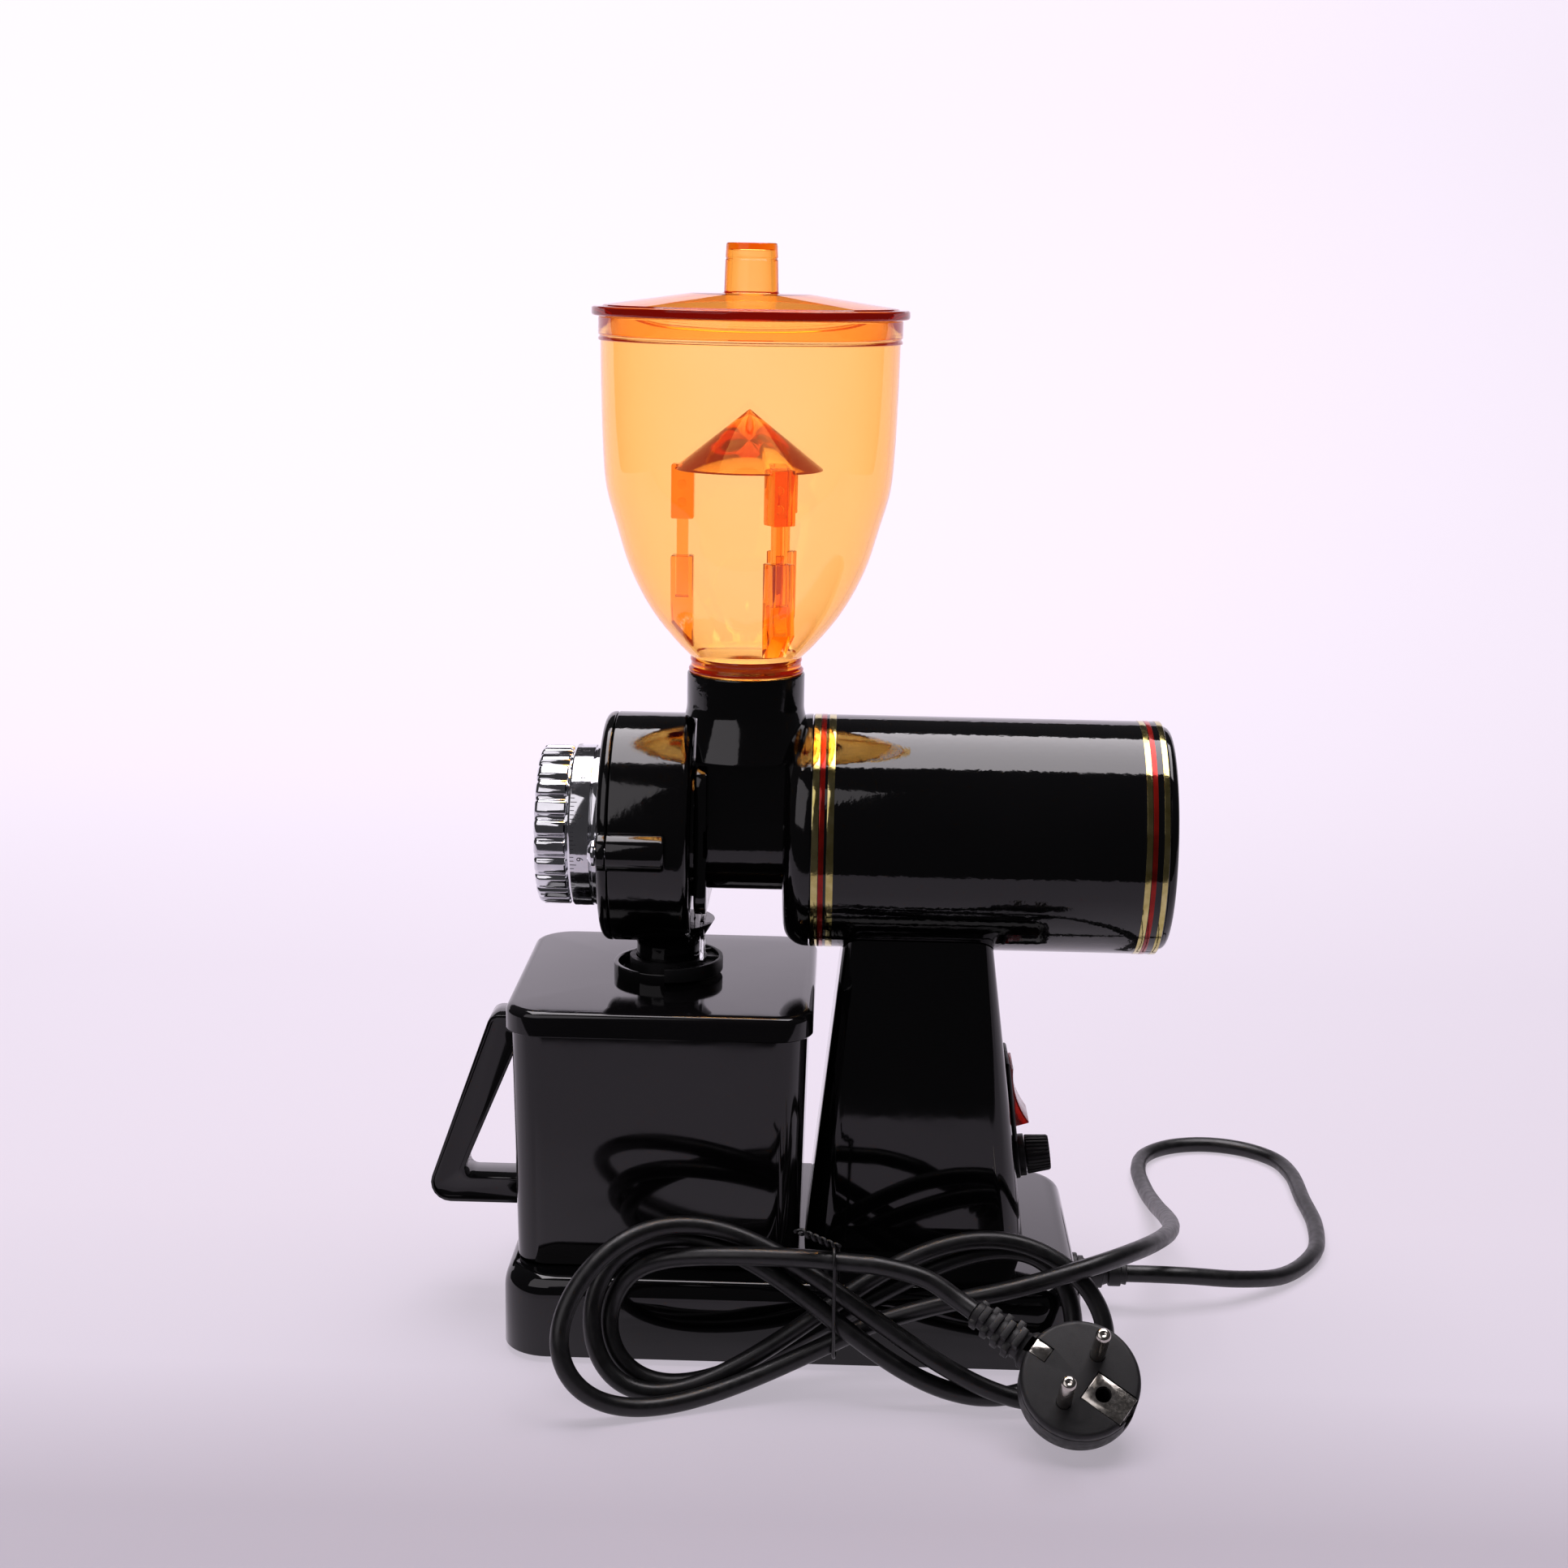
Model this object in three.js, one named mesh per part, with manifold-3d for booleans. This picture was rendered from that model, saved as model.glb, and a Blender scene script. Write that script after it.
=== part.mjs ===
// Direct-drive coffee grinder with flat burrs: hopper on top, motor lying behind the grinding drum,
// square grounds canister sliding in under the chute. Millimetres, +Z up.
// x runs from the canister handle (-) to the motor's rear (+), y across the machine, and z up from
// the surface it stands on. Inside the outer group, x = 0 is the hopper's axis.
import * as THREE from "three";
import { mergeVertices } from "three/addons/utils/BufferGeometryUtils.js";
import Module from "manifold-3d";

const wasm = await Module();
wasm.setup();

// Clearances
const seatGap = 0.3;
const runGap = 0.6;
const overrun = 1;

// Layout: heights above the floor and distances from the hopper's axis
const axisHeight = 172.7;
const neckHeight = 54.9;
const chuteReach = 25.7;
const glandHeight = 12.5;

// Base
const baseFront = 77.5;
const baseRear = 118.5;
const baseHalf = 59;
const baseRise = 28;
const baseCorner = 16;
const baseWall = 2.5;
const shoulderDrop = 8;
const shoulderInset = 4.5;
const footShow = 2;
const footRadius = 9;
const footInset = 20;
const plateRecess = 1.5;
const plateThickness = 1.5;
const postRadius = 5;
const wireHole = 8;

// Pillar
const pillarFootFront = 24;
const pillarFootRear = 100.4;
const pillarAxisFront = 39;
const pillarAxisRear = 81.6;
const pillarFootHalf = 26;
const pillarAxisHalf = 23.5;
const pillarCorner = 9;
const pillarWall = 3;
const saddleFloor = 6;

// Motor
const motorRadius = 40;
const shellWall = 2;
const shellLength = 118.2;
const bellFront = 14.3;
const bellDepth = 8.9;
const bellRound = 8;
const bellWall = 4;
const spigotLength = 4;
const capDepth = 2.9;
const capInset = 1.6;
const capRound = 2.5;
const shaftRadius = 5;
const bearingRadius = 13;
const bearingWidth = 8;
const bearingWall = 3;
const statorStartShare = 0.227;
const statorShare = 0.4156;
const statorBore = 22.2;
const statorSlots = 12;
const slotDepth = 9;
const slotWidth = 5;
const windingShare = 0.108;
const windingInner = 24.5;
const windingOuter = 34.5;
const airGap = 0.6;
const fanSetback = 5;
const fanWidth = 9;
const fanRadius = 33;
const fanBlades = 6;
const bladeThickness = 1.6;
const fanHub = 9;
const ventSlots = 4;
const ventWidth = 4;
const ventPitch = 8.4;

// Neck casting
const neckRadius = 20;
const neckBore = 17.6;
const neckSocket = 13.6;
const barrelRadius = 21;
const augerBore = 14;
const flangeRear = 11.5;
const flangeThickness = 4.2;
const flangeHalf = 26;
const flangeCorner = 8;
const flareRadius = 26;
const flareHeight = 14;
const tieBossRadius = 6;
const tieBossLength = 11.5;
const tieStemRadius = 4;

// Grinding drum and cover
const drumRadius = 39.5;
const drumWall = 3.5;
const drumLength = 26.9;
const shadowGap = 1;
const drumBackWall = 3;
const padRadius = 24;
const coverDepth = 6.1;
const coverRound = 5;
const earRadius = 6.5;
const earDepth = 3;
const earBossLength = 19.4;
const screwRadius = 2;
const screwHead = 4.3;
const screwHeadHeight = 2.2;
const screwLength = 18;

// Dial and burr feed
const hubRadius = 19;
const hubLength = 12;
const stemRadius = 12;
const threadRadius = 8;
const threadLength = 5;
const keyWidth = 4;
const keyHeight = 1.5;
const skirtRadius = 27.8;
const skirtDepth = 8.2;
const gripRadius = 27.4;
const gripDepth = 11;
const gripChamfer = 1.4;
const gripFlutes = 20;
const fluteDepth = 1.3;
const stepDepth = 0.7;
const stepWidth = 2.4;
const faceDepth = 2.5;

// Burrs and auger
const burrRadius = 30;
const burrBore = 17;
const burrThickness = 6.5;
const burrTeeth = 18;
const toothDepth = 2.2;
const rimToothDepth = 0.7;
const toothLean = 0.35;
const burrGap = 1;
const carrierThickness = 4;
const carrierGap = 1;
const spiderThickness = 3;
const spiderHub = 8.5;
const spiderRing = 19.5;
const spiderArms = 3;
const armWidth = 7;
const augerCore = 7;
const flightRadius = 13.4;
const flightThickness = 2.4;
const augerPitch = 19;
const augerLength = 26;
const augerEndGap = 1.4;

// Chute and collar
const chuteRadius = 11;
const chuteBore = 9.4;
const collarRise = 1.1;
const collarHeight = 5.3;
const collarHub = 13.6;
const collarRadius = 19;
const collarWall = 1.6;
const collarFloor = 1.6;
const collarRibs = 5;
const collarRibWidth = 1.4;
const flapHalf = 8;
const flapHeight = 14;
const flapThickness = 1.4;

// Canister
const canisterFootHalf = 48;
const canisterTopHalf = 49.75;
const canisterWall = 2.5;
const canisterCorner = 11;
const lidHalf = 51.5;
const lidHeight = 8.5;
const lidPlate = 2.5;
const lidTop = 120.5;
const lidRound = 2.5;
const lidHole = 12;
const rimHeight = 4.3;
const handleWidth = 14.8;
const handleReach = 36.5;
const handleTopReach = 12;
const handleTop = 75;
const handleFoot = 5.5;
const handleBar = 9.5;
const handleRound = 7;
const handleRim = 1.6;
const barSlant = 1.32;
const pocketDepth = 1.5;

// Hopper
const bowlRadius = 49.7;
const bowlHeight = 118.1;
const bowlWall = 2.2;
const rimBand = 7.7;
const rimRadius = 50.4;
const rimWall = 2;
const throatRadius = 18.8;
const throatHeight = 5.4;
const throatBead = 0.7;
const beadHeight = 1.2;
const spigotRadius = 17.2;
const spigotDepth = 13;
const socketReach = 22;
const socketWidth = 8;
const socketDepth = 5;
const socketFoot = 10;
const socketTop = 39.4;
const socketHole = 14;
const coneRadius = 25.5;
const coneFoot = 68.4;
const coneHeight = 20;
const coneWall = 1.8;
const legWidth = 8;
const legThickness = 2.4;
const legFoot = 51.9;
const tongueWidth = 4;
const lidLip = 52.6;
const lipThickness = 3;
const lidRise = 4.7;
const lidFlat = 19.6;
const lidShell = 2.5;
const lidSkirt = 6.5;
const skirtWall = 1.9;
const knobRadius = 9;
const knobTopRadius = 8.4;
const knobHeight = 16.3;
const knobWall = 2.2;

// Switch and fuse holder on the pillar's rear face
const switchHeight = 79.6;
const bezelHalfLength = 14.3;
const bezelHalfWidth = 12.4;
const bezelThickness = 2.2;
const switchHalfLength = 12.5;
const switchHalfWidth = 10.6;
const switchDepth = 21;
const switchWall = 1;
const rockerHalf = 10.2;
const rockerCrown = 6.6;
const rockerDip = 4;
const rockerSkirt = 3;
const rockerPivot = 2;
const rockerTilt = 10;
const fuseHeight = 56;
const fuseFlange = 8.1;
const fuseFlangeDepth = 1.6;
const fuseRing = 7.4;
const fuseRingDepth = 2.3;
const fuseBody = 6.3;
const fuseBodyLength = 27;
const fuseBore = 3.8;
const fuseBottom = 4;
const fuseCapRadius = 6.7;
const fuseCapLength = 8.3;
const fuseCapRibs = 14;
const fuseCapRib = 0.6;
const fuseRadius = 2.6;
const fuseLength = 20;
const fuseStem = 3.4;

// Run capacitor inside the base
const capacitorLength = 46;
const capacitorWidth = 30;
const capacitorHeight = 16;
const capacitorReach = 8;

// Cord, its gland, tie and plug
const cordRadius = 3.1;
const glandLength = 20;
const glandRadius = 6;
const glandTip = 4.6;
const glandCollar = 2.5;
const glandRings = 3;
const leadStraight = 8;
const leadPoints = [
  [160.9, 1.3, 11.7],
  [181.3, 8.5, 7.9],
  [199.5, 22.3, 3.9],
  [214.7, 45.7, 3.2],
  [220, 73, 3.2],
  [220, 100, 3.2],
  [220, 128, 3.2],
  [215.8, 143.5, 3.2],
  [204.5, 154.8, 3.2],
  [189, 159, 3.2],
  [173.5, 154.8, 3.2],
  [162.2, 143.5, 3.2],
  [158, 128, 3.2],
  [158, 103.9, 3.9],
  [158.5, 74, 9.1],
  [158.1, 41.3, 17.7],
  [155.3, 8.2, 27.5],
  [148.9, -22.5, 36.4],
  [137.6, -48.3, 42.3],
  [120, -66.3, 43.4],
  [94.4, -73.3, 37.8],
  [67, -73.2, 30.5],
];
const tailPoints = [
  [64.5, -82.3, 44],
];
const joinRun = 6.2;
const hankLobes = 5;
const hankCentre = 35.3;
const hankFront = -84.4;
const hankLean = 25.3;
const hankReaches = [89.6, 87.6, 90.4, 88.8, 77.5, 79.3, 63.8, 79, 87.7, 74.1, 81];
const hankRises = [21.8, 21.6, 29.6, 23.8, 27.2, 26.8, 23.2, 22.4, 25.5, 15.7, 3.9];
const hankHeights = [20.4, 18.8, 36.2, 23.9, 32.8, 26.8, 26.8, 27, 27.9, 25.1, 45.4];
const hankLayers = [0.8, 25.4, 9.1, -2.6, -1.8, 7.3, 7.4, -9.4, -8.1, 1.4, 17.5];
const wireRadius = 0.6;
const wireClearance = 1.4;
const wirePitch = 2;
const wireEnd = 16;
const plugRadius = 19;
const plugThickness = 15;
const plugRound = 1.6;
const plugTilt = 44;
const plugSpin = 35.5;
const plugPlace = [112.6, -109.3];
const pinRadius = 2.4;
const pinLength = 19;
const pinRoot = 4;
const pinSpread = 9.5;
const reliefLength = 21;
const reliefRadius = 5.6;
const reliefTip = 4.4;
const reliefRings = 4;
const earthHole = 2.4;
const earthDepth = 13;
const earthReach = 8.5;
const earthPlateHalf = 5;
const earthPlateEnd = 3.5;
const clipWidth = 5;
const clipThickness = 0.8;
const clipLength = 9;
const clipInset = 2.2;
const clipReturn = 5;

// Steps round circles
const bigRound = 28;
const midRound = 20;
const smallRound = 12;
const cornerSteps = 3;
const lobeSteps = 24;
const loopSides = 6;
const leadSteps = 44;
const tailSteps = 6;
const cordSides = 8;
const tieSteps = 20;
const wireSides = 6;

// Derived places
const baseTop = footShow + baseRise;
const shellStart = bellFront + bellDepth + seatGap;
const shellEnd = shellStart + shellLength;
const statorStart = shellStart + shellLength * statorStartShare;
const statorLength = shellLength * statorShare;
const windingLength = shellLength * windingShare;
const rearSeatEnd = shellEnd;
const rearSeatStart = rearSeatEnd - bearingWidth;
const fanStart = rearSeatStart - fanSetback - fanWidth;
const capStart = shellEnd + seatGap;
const capEnd = capStart + capDepth;
const drumRear = -(flangeRear + flangeThickness + shadowGap);
const drumFront = drumRear - drumLength;
const coverRear = drumFront - seatGap;
const coverFront = coverRear - coverDepth;
const dialRear = coverFront - seatGap;
const skirtEnd = dialRear - skirtDepth;
const dialFront = skirtEnd - gripDepth;
const hubEnd = coverFront - hubLength;
const handleEnd = -(chuteReach + canisterTopHalf + handleReach);
const footprintCentre = (capEnd + handleEnd) / 2;

// Finishes
function finish(color, roughness, metalness, opacity = 1) {
  return new THREE.MeshStandardMaterial({ color, roughness, metalness, opacity, transparent: opacity < 1 });
}
const glossBlack = () => finish(0x101012, 0.18, 0.1);
const castBlack = () => finish(0x0d0d0f, 0.15, 0.35);
const mattBlack = () => finish(0x17171a, 0.7, 0);
const amber = () => finish(0xf08a1c, 0.12, 0, 0.5);
const chrome = () => finish(0xdadce0, 0.12, 1);
const steel = () => finish(0x9a9ca0, 0.35, 1);
const copper = () => finish(0xb4652a, 0.4, 0.9);
const iron = () => finish(0x55575c, 0.5, 0.8);
const rubber = () => finish(0x1a1a1a, 0.85, 0);
const clear = () => finish(0xe8eef0, 0.1, 0, 0.35);
const redClear = () => finish(0xc8140c, 0.25, 0, 0.85);
const vinyl = () => finish(0x0c0c0d, 0.45, 0);

// A closed geometry as a solid with its faces turned outwards
const weldDistance = 1e-4;
function solidOf(geometry) {
  const loose = geometry.index ? geometry.toNonIndexed() : geometry.clone();
  loose.deleteAttribute("normal");
  loose.deleteAttribute("uv");
  const merged = mergeVertices(loose, weldDistance);
  const corners = merged.index.array;
  const outward = [];
  const inward = [];
  for (let i = 0; i < corners.length; i += 3) {
    const [a, b, c] = [corners[i], corners[i + 1], corners[i + 2]];
    if (a === b || b === c || c === a) continue;
    outward.push(a, b, c);
    inward.push(a, c, b);
  }
  const vertProperties = merged.attributes.position.array;
  const made = (corners) =>
    new wasm.Manifold(new wasm.Mesh({ numProp: 3, vertProperties, triVerts: new Uint32Array(corners) }));
  const solid = made(outward);
  return solid.volume() > 0 ? solid : made(inward);
}

function geometryOf(solid) {
  const mesh = solid.getMesh();
  const geometry = new THREE.BufferGeometry();
  geometry.setAttribute("position", new THREE.BufferAttribute(mesh.vertProperties, 3));
  geometry.setIndex(new THREE.BufferAttribute(mesh.triVerts, 1));
  return geometry;
}

function joined(...geometries) {
  return geometryOf(geometries.map(solidOf).reduce((whole, next) => whole.add(next)));
}

function cut(body, ...cutters) {
  return geometryOf(cutters.map(solidOf).reduce((left, cutter) => left.subtract(cutter), solidOf(body)));
}

function common(one, other) {
  return geometryOf(solidOf(one).intersect(solidOf(other)));
}

// A profile of [radius, height] points turned round the z axis
function revolve(profile, steps = midRound) {
  const points = profile.map(([radius, height]) => new THREE.Vector2(radius, height));
  return new THREE.LatheGeometry(points, steps).rotateX(Math.PI / 2);
}

// The same for a profile that comes back to its first point
function revolveRing(profile, steps = midRound) {
  return revolve([...profile, profile[0]], steps);
}

// Turns what points up into what points towards the motor's rear
function alongX(geometry) {
  return geometry.rotateY(Math.PI / 2);
}

function rod(radius, from, to, steps = smallRound) {
  const length = to - from;
  return new THREE.CylinderGeometry(radius, radius, length, steps)
    .rotateX(Math.PI / 2)
    .translate(0, 0, from + length / 2);
}

function ring(inner, outer, from, to, steps = midRound) {
  return revolveRing([[inner, from], [outer, from], [outer, to], [inner, to]], steps);
}

function block(from, to) {
  const size = to.map((end, axis) => end - from[axis]);
  const centre = to.map((end, axis) => (end + from[axis]) / 2);
  return new THREE.BoxGeometry(...size).translate(...centre);
}

function roundedRectangle(halfWidth, halfHeight, corner) {
  const shape = new THREE.Shape();
  const [w, h] = [halfWidth - corner, halfHeight - corner];
  shape.absarc(w, h, corner, 0, Math.PI / 2);
  shape.absarc(-w, h, corner, Math.PI / 2, Math.PI);
  shape.absarc(-w, -h, corner, Math.PI, 1.5 * Math.PI);
  shape.absarc(w, -h, corner, 1.5 * Math.PI, 2 * Math.PI);
  return shape;
}

function slab(shape, from, to, curveSegments = cornerSteps) {
  const depth = to - from;
  return new THREE.ExtrudeGeometry(shape, { depth, bevelEnabled: false, curveSegments }).translate(0, 0, from);
}

// An outline drawn in x and z, as thick as width, centred on y = 0
function sideways(shape, width, curveSegments = cornerSteps) {
  return slab(shape, 0, width, curveSegments).rotateX(Math.PI / 2).translate(0, width / 2, 0);
}

// A body through rounded rectangles, one at each height
function loft(sections) {
  const positions = [];
  const rings = sections.map(({ z, front, rear, half, corner }) => {
    const centre = (front + rear) / 2;
    const halfLength = (rear - front) / 2;
    const points = [];
    for (let quarter = 0; quarter < 4; quarter++) {
      const sideX = quarter === 0 || quarter === 3 ? 1 : -1;
      const sideY = quarter < 2 ? 1 : -1;
      for (let step = 0; step <= cornerSteps; step++) {
        const angle = ((quarter + step / cornerSteps) * Math.PI) / 2;
        const x = centre + sideX * (halfLength - corner) + corner * Math.cos(angle);
        points.push([x, sideY * (half - corner) + corner * Math.sin(angle), z]);
      }
    }
    return points;
  });
  const triangle = (...corners) => corners.forEach((corner) => positions.push(...corner));
  rings.slice(1).forEach((upper, level) => {
    const lower = rings[level];
    upper.forEach((corner, i) => {
      const next = (i + 1) % upper.length;
      triangle(lower[i], lower[next], upper[next]);
      triangle(lower[i], upper[next], corner);
    });
  });
  const bottom = rings[0];
  const top = rings[rings.length - 1];
  for (let i = 1; i < bottom.length - 1; i++) {
    triangle(bottom[0], bottom[i + 1], bottom[i]);
    triangle(top[0], top[i], top[i + 1]);
  }
  const geometry = new THREE.BufferGeometry();
  geometry.setAttribute("position", new THREE.Float32BufferAttribute(positions, 3));
  return geometry;
}

// A round tube along points, closed at both ends
function cable(points, radius, steps, sides) {
  const section = new THREE.Shape();
  for (let side = 0; side < sides; side++) {
    const angle = (2 * Math.PI * side) / sides;
    const [x, y] = [radius * Math.cos(angle), radius * Math.sin(angle)];
    if (side) section.lineTo(x, y);
    else section.moveTo(x, y);
  }
  const extrudePath = new THREE.CatmullRomCurve3(points.map((point) => new THREE.Vector3(...point)));
  return new THREE.ExtrudeGeometry(section, { steps, extrudePath, bevelEnabled: false });
}

const grinder = new THREE.Group();
const machine = new THREE.Group();
machine.position.x = -footprintCentre;
grinder.add(machine);

function addGroup(parent, x, y, z) {
  const group = new THREE.Group();
  group.position.set(x, y, z);
  parent.add(group);
  return group;
}

function addPiece(parent, name, geometry, material) {
  const mesh = new THREE.Mesh(geometryOf(solidOf(geometry)), material);
  mesh.name = name;
  parent.add(mesh);
  return mesh;
}

// Base: a pressed shell open below, closed by a plate, on four rubber feet
function baseSections(inset, bottom) {
  const section = (z, drawnIn) => ({
    z,
    front: -baseFront + inset + drawnIn,
    rear: baseRear - inset - drawnIn,
    half: baseHalf - inset - drawnIn,
    corner: baseCorner - inset,
  });
  const sections = [section(bottom, 0)];
  for (let step = 0; step <= cornerSteps; step++) {
    const angle = ((step / cornerSteps) * Math.PI) / 2;
    const rise = shoulderDrop * (Math.sin(angle) - 1);
    sections.push(section(baseTop - inset + rise, shoulderInset * (1 - Math.cos(angle))));
  }
  return sections;
}

const plateBottom = footShow + plateRecess;
const plateTop = plateBottom + plateThickness;
const pillarCentre = (pillarFootFront + pillarFootRear) / 2;
const footPlaces = [
  ["foot_front_left", -baseFront + footInset, -baseHalf + footInset],
  ["foot_front_right", -baseFront + footInset, baseHalf - footInset],
  ["foot_rear_left", baseRear - footInset, -baseHalf + footInset],
  ["foot_rear_right", baseRear - footInset, baseHalf - footInset],
];

function baseShell() {
  const hollow = cut(loft(baseSections(0, footShow)), loft(baseSections(baseWall, footShow - overrun)));
  const posts = footPlaces.map(([, x, y]) =>
    rod(postRadius, plateTop + seatGap, baseTop - baseWall / 2).translate(x, y, 0),
  );
  const wires = rod(wireHole, baseTop - baseWall - overrun, baseTop + overrun).translate(pillarCentre, 0, 0);
  return cut(joined(hollow, ...posts), wires);
}
addPiece(machine, "base_shell", baseShell(), glossBlack());

function basePlate() {
  const inset = baseWall + seatGap;
  const outline = { front: -baseFront + inset, rear: baseRear - inset, half: baseHalf - inset };
  const corner = baseCorner - inset;
  return loft([
    { z: plateBottom, ...outline, corner },
    { z: plateTop, ...outline, corner },
  ]);
}
addPiece(machine, "base_plate", basePlate(), iron());

footPlaces.forEach(([name, x, y]) => {
  const top = plateBottom - seatGap;
  const foot = revolve([[0, 0], [footRadius - overrun, 0], [footRadius, top], [0, top]], smallRound);
  addPiece(machine, name, foot.translate(x, y, 0), rubber());
});

function capacitorBox() {
  const [halfLength, halfWidth] = [capacitorLength / 2, capacitorWidth / 2];
  const corner = plateThickness;
  return slab(roundedRectangle(halfLength, halfWidth, corner), 0, capacitorHeight, 2);
}
const capacitorPlace = addGroup(machine, -capacitorReach, 0, plateTop + seatGap);
addPiece(capacitorPlace, "run_capacitor", capacitorBox(), mattBlack());

// Pillar: a tapered hollow column whose top is cut to the motor's round
const pillar = addGroup(machine, 0, 0, baseTop + seatGap);
const pillarAxis = axisHeight - baseTop - seatGap;
function pillarSection(z, inset) {
  const share = z / pillarAxis;
  const between = (foot, axis) => foot + (axis - foot) * share;
  return {
    z,
    front: between(pillarFootFront, pillarAxisFront) + inset,
    rear: between(pillarFootRear, pillarAxisRear) - inset,
    half: between(pillarFootHalf, pillarAxisHalf) - inset,
    corner: pillarCorner - inset,
  };
}
const panelTilt = Math.atan2(pillarFootRear - pillarAxisRear, pillarAxis);

// The frame of a fitting on the pillar's rear face: x outwards, z up along the face
function panelFrame(height) {
  const z = height - baseTop - seatGap;
  const frame = new THREE.Group();
  frame.position.set(pillarSection(z, 0).rear, 0, z);
  frame.rotation.y = -panelTilt;
  frame.updateMatrix();
  return frame;
}

function inFrame(geometry, frame) {
  return geometry.applyMatrix4(frame.matrix);
}

const switchFrame = panelFrame(switchHeight);
const fuseFrame = panelFrame(fuseHeight);

function pillarColumn() {
  const cavityTop = pillarAxis - motorRadius - saddleFloor;
  const outer = loft([pillarSection(0, 0), pillarSection(pillarAxis, 0)]);
  const cavity = loft([pillarSection(-overrun, pillarWall), pillarSection(cavityTop, pillarWall)]);
  const motor = rod(motorRadius + seatGap, 0, capEnd, bigRound);
  alongX(motor).translate(0, 0, pillarAxis);
  const centre = (pillarAxisFront + pillarAxisRear) / 2;
  const wires = rod(wireHole, cavityTop - overrun, pillarAxis).translate(centre, 0, 0);
  const reach = pillarWall * 2;
  const switchCut = block(
    [-reach, -switchHalfWidth - seatGap, -switchHalfLength - seatGap],
    [reach, switchHalfWidth + seatGap, switchHalfLength + seatGap],
  );
  const fuseCut = alongX(rod(fuseBody + seatGap, -reach, reach));
  return cut(outer, cavity, motor, wires, inFrame(switchCut, switchFrame), inFrame(fuseCut, fuseFrame));
}
addPiece(pillar, "pillar", pillarColumn(), glossBlack());

// Switch: a housing clipped through the pillar, with a rocker held at its pivot
pillar.add(switchFrame);
const rockerWellHalf = Math.hypot(rockerHalf, rockerCrown);
const rockerHalfWidth = switchHalfWidth - switchWall - seatGap;
function switchHousing() {
  const body = block(
    [-switchDepth, -switchHalfWidth, -switchHalfLength],
    [seatGap + bezelThickness / 2, switchHalfWidth, switchHalfLength],
  );
  const bezel = alongX(
    slab(
      roundedRectangle(bezelHalfLength, bezelHalfWidth, bezelThickness),
      seatGap,
      seatGap + bezelThickness,
      2,
    ),
  );
  const wellFloor = -rockerPivot - rockerSkirt - rockerHalf * Math.sin(THREE.MathUtils.degToRad(rockerTilt));
  const well = block(
    [wellFloor - runGap, -rockerHalfWidth - seatGap, -rockerWellHalf],
    [bezelThickness + overrun, rockerHalfWidth + seatGap, rockerWellHalf],
  );
  return cut(joined(body, bezel), well);
}
addPiece(switchFrame, "switch_housing", switchHousing(), mattBlack());

function rocker() {
  const outline = new THREE.Shape();
  outline.moveTo(-rockerSkirt, -rockerHalf);
  outline.lineTo(rockerCrown, -rockerHalf);
  outline.quadraticCurveTo(rockerDip, -rockerHalf / 3, rockerDip, 0);
  outline.quadraticCurveTo(rockerDip, rockerHalf / 3, rockerCrown, rockerHalf);
  outline.lineTo(-rockerSkirt, rockerHalf);
  return sideways(outline, 2 * rockerHalfWidth);
}
const rockerMount = addGroup(switchFrame, -rockerPivot, 0, 0);
rockerMount.rotation.y = -THREE.MathUtils.degToRad(rockerTilt);
addPiece(rockerMount, "rocker_button", rocker(), redClear());

// Fuse holder: a threaded body through the pillar, and a ribbed cap that carries the fuse
pillar.add(fuseFrame);
const fuseRingEnd = seatGap + fuseFlangeDepth + fuseRingDepth;
function fuseHolder() {
  const back = seatGap - fuseBodyLength;
  return alongX(
    revolve(
      [
        [0, back],
        [fuseBody, back],
        [fuseBody, seatGap],
        [fuseFlange, seatGap],
        [fuseFlange, seatGap + fuseFlangeDepth],
        [fuseRing, seatGap + fuseFlangeDepth],
        [fuseRing, fuseRingEnd],
        [fuseBore, fuseRingEnd],
        [fuseBore, back + fuseBottom],
        [0, back + fuseBottom],
      ],
      smallRound,
    ),
  );
}
addPiece(fuseFrame, "fuse_holder", fuseHolder(), mattBlack());

function ribbedOutline(radius, rib, count) {
  const shape = new THREE.Shape();
  const stepShares = [0, 0.3, 0.5, 0.8];
  for (let i = 0; i < count; i++) {
    stepShares.forEach((share, corner) => {
      const angle = (2 * Math.PI * (i + share)) / count;
      const reach = corner < 2 ? radius : radius - rib;
      const [x, y] = [reach * Math.cos(angle), reach * Math.sin(angle)];
      if (i || corner) shape.lineTo(x, y);
      else shape.moveTo(x, y);
    });
  }
  return shape;
}
const fuseCapStart = fuseRingEnd + seatGap;
const fuseEnd = 0;
function fuseCap() {
  const head = slab(ribbedOutline(fuseCapRadius, fuseCapRib, fuseCapRibs), fuseCapStart, fuseCapStart + fuseCapLength);
  return alongX(joined(head, rod(fuseStem, fuseEnd, fuseCapStart + overrun)));
}
addPiece(fuseFrame, "fuse_cap", fuseCap(), mattBlack());
const fuseTube = alongX(rod(fuseRadius, fuseEnd - seatGap - fuseLength, fuseEnd - seatGap));
addPiece(fuseFrame, "fuse_tube", fuseTube, clear());

// Motor: everything on the drive's axis
const drive = addGroup(machine, 0, 0, axisHeight);
const boreGap = seatGap;

// An arc of [radius, height] points between two directions, for a rounded edge
function edgeArc(radius, height, round, fromAngle, toAngle, steps = cornerSteps) {
  const points = [];
  for (let step = 0; step <= steps; step++) {
    const angle = fromAngle + ((toAngle - fromAngle) * step) / steps;
    points.push([radius + round * Math.cos(angle), height + round * Math.sin(angle)]);
  }
  return points;
}

const spigotOuter = motorRadius - shellWall - seatGap;
const seatFloor = bellFront + bearingWall;
const seatRadius = bearingRadius + boreGap;
const bellEnd = bellFront + bellDepth;

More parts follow.
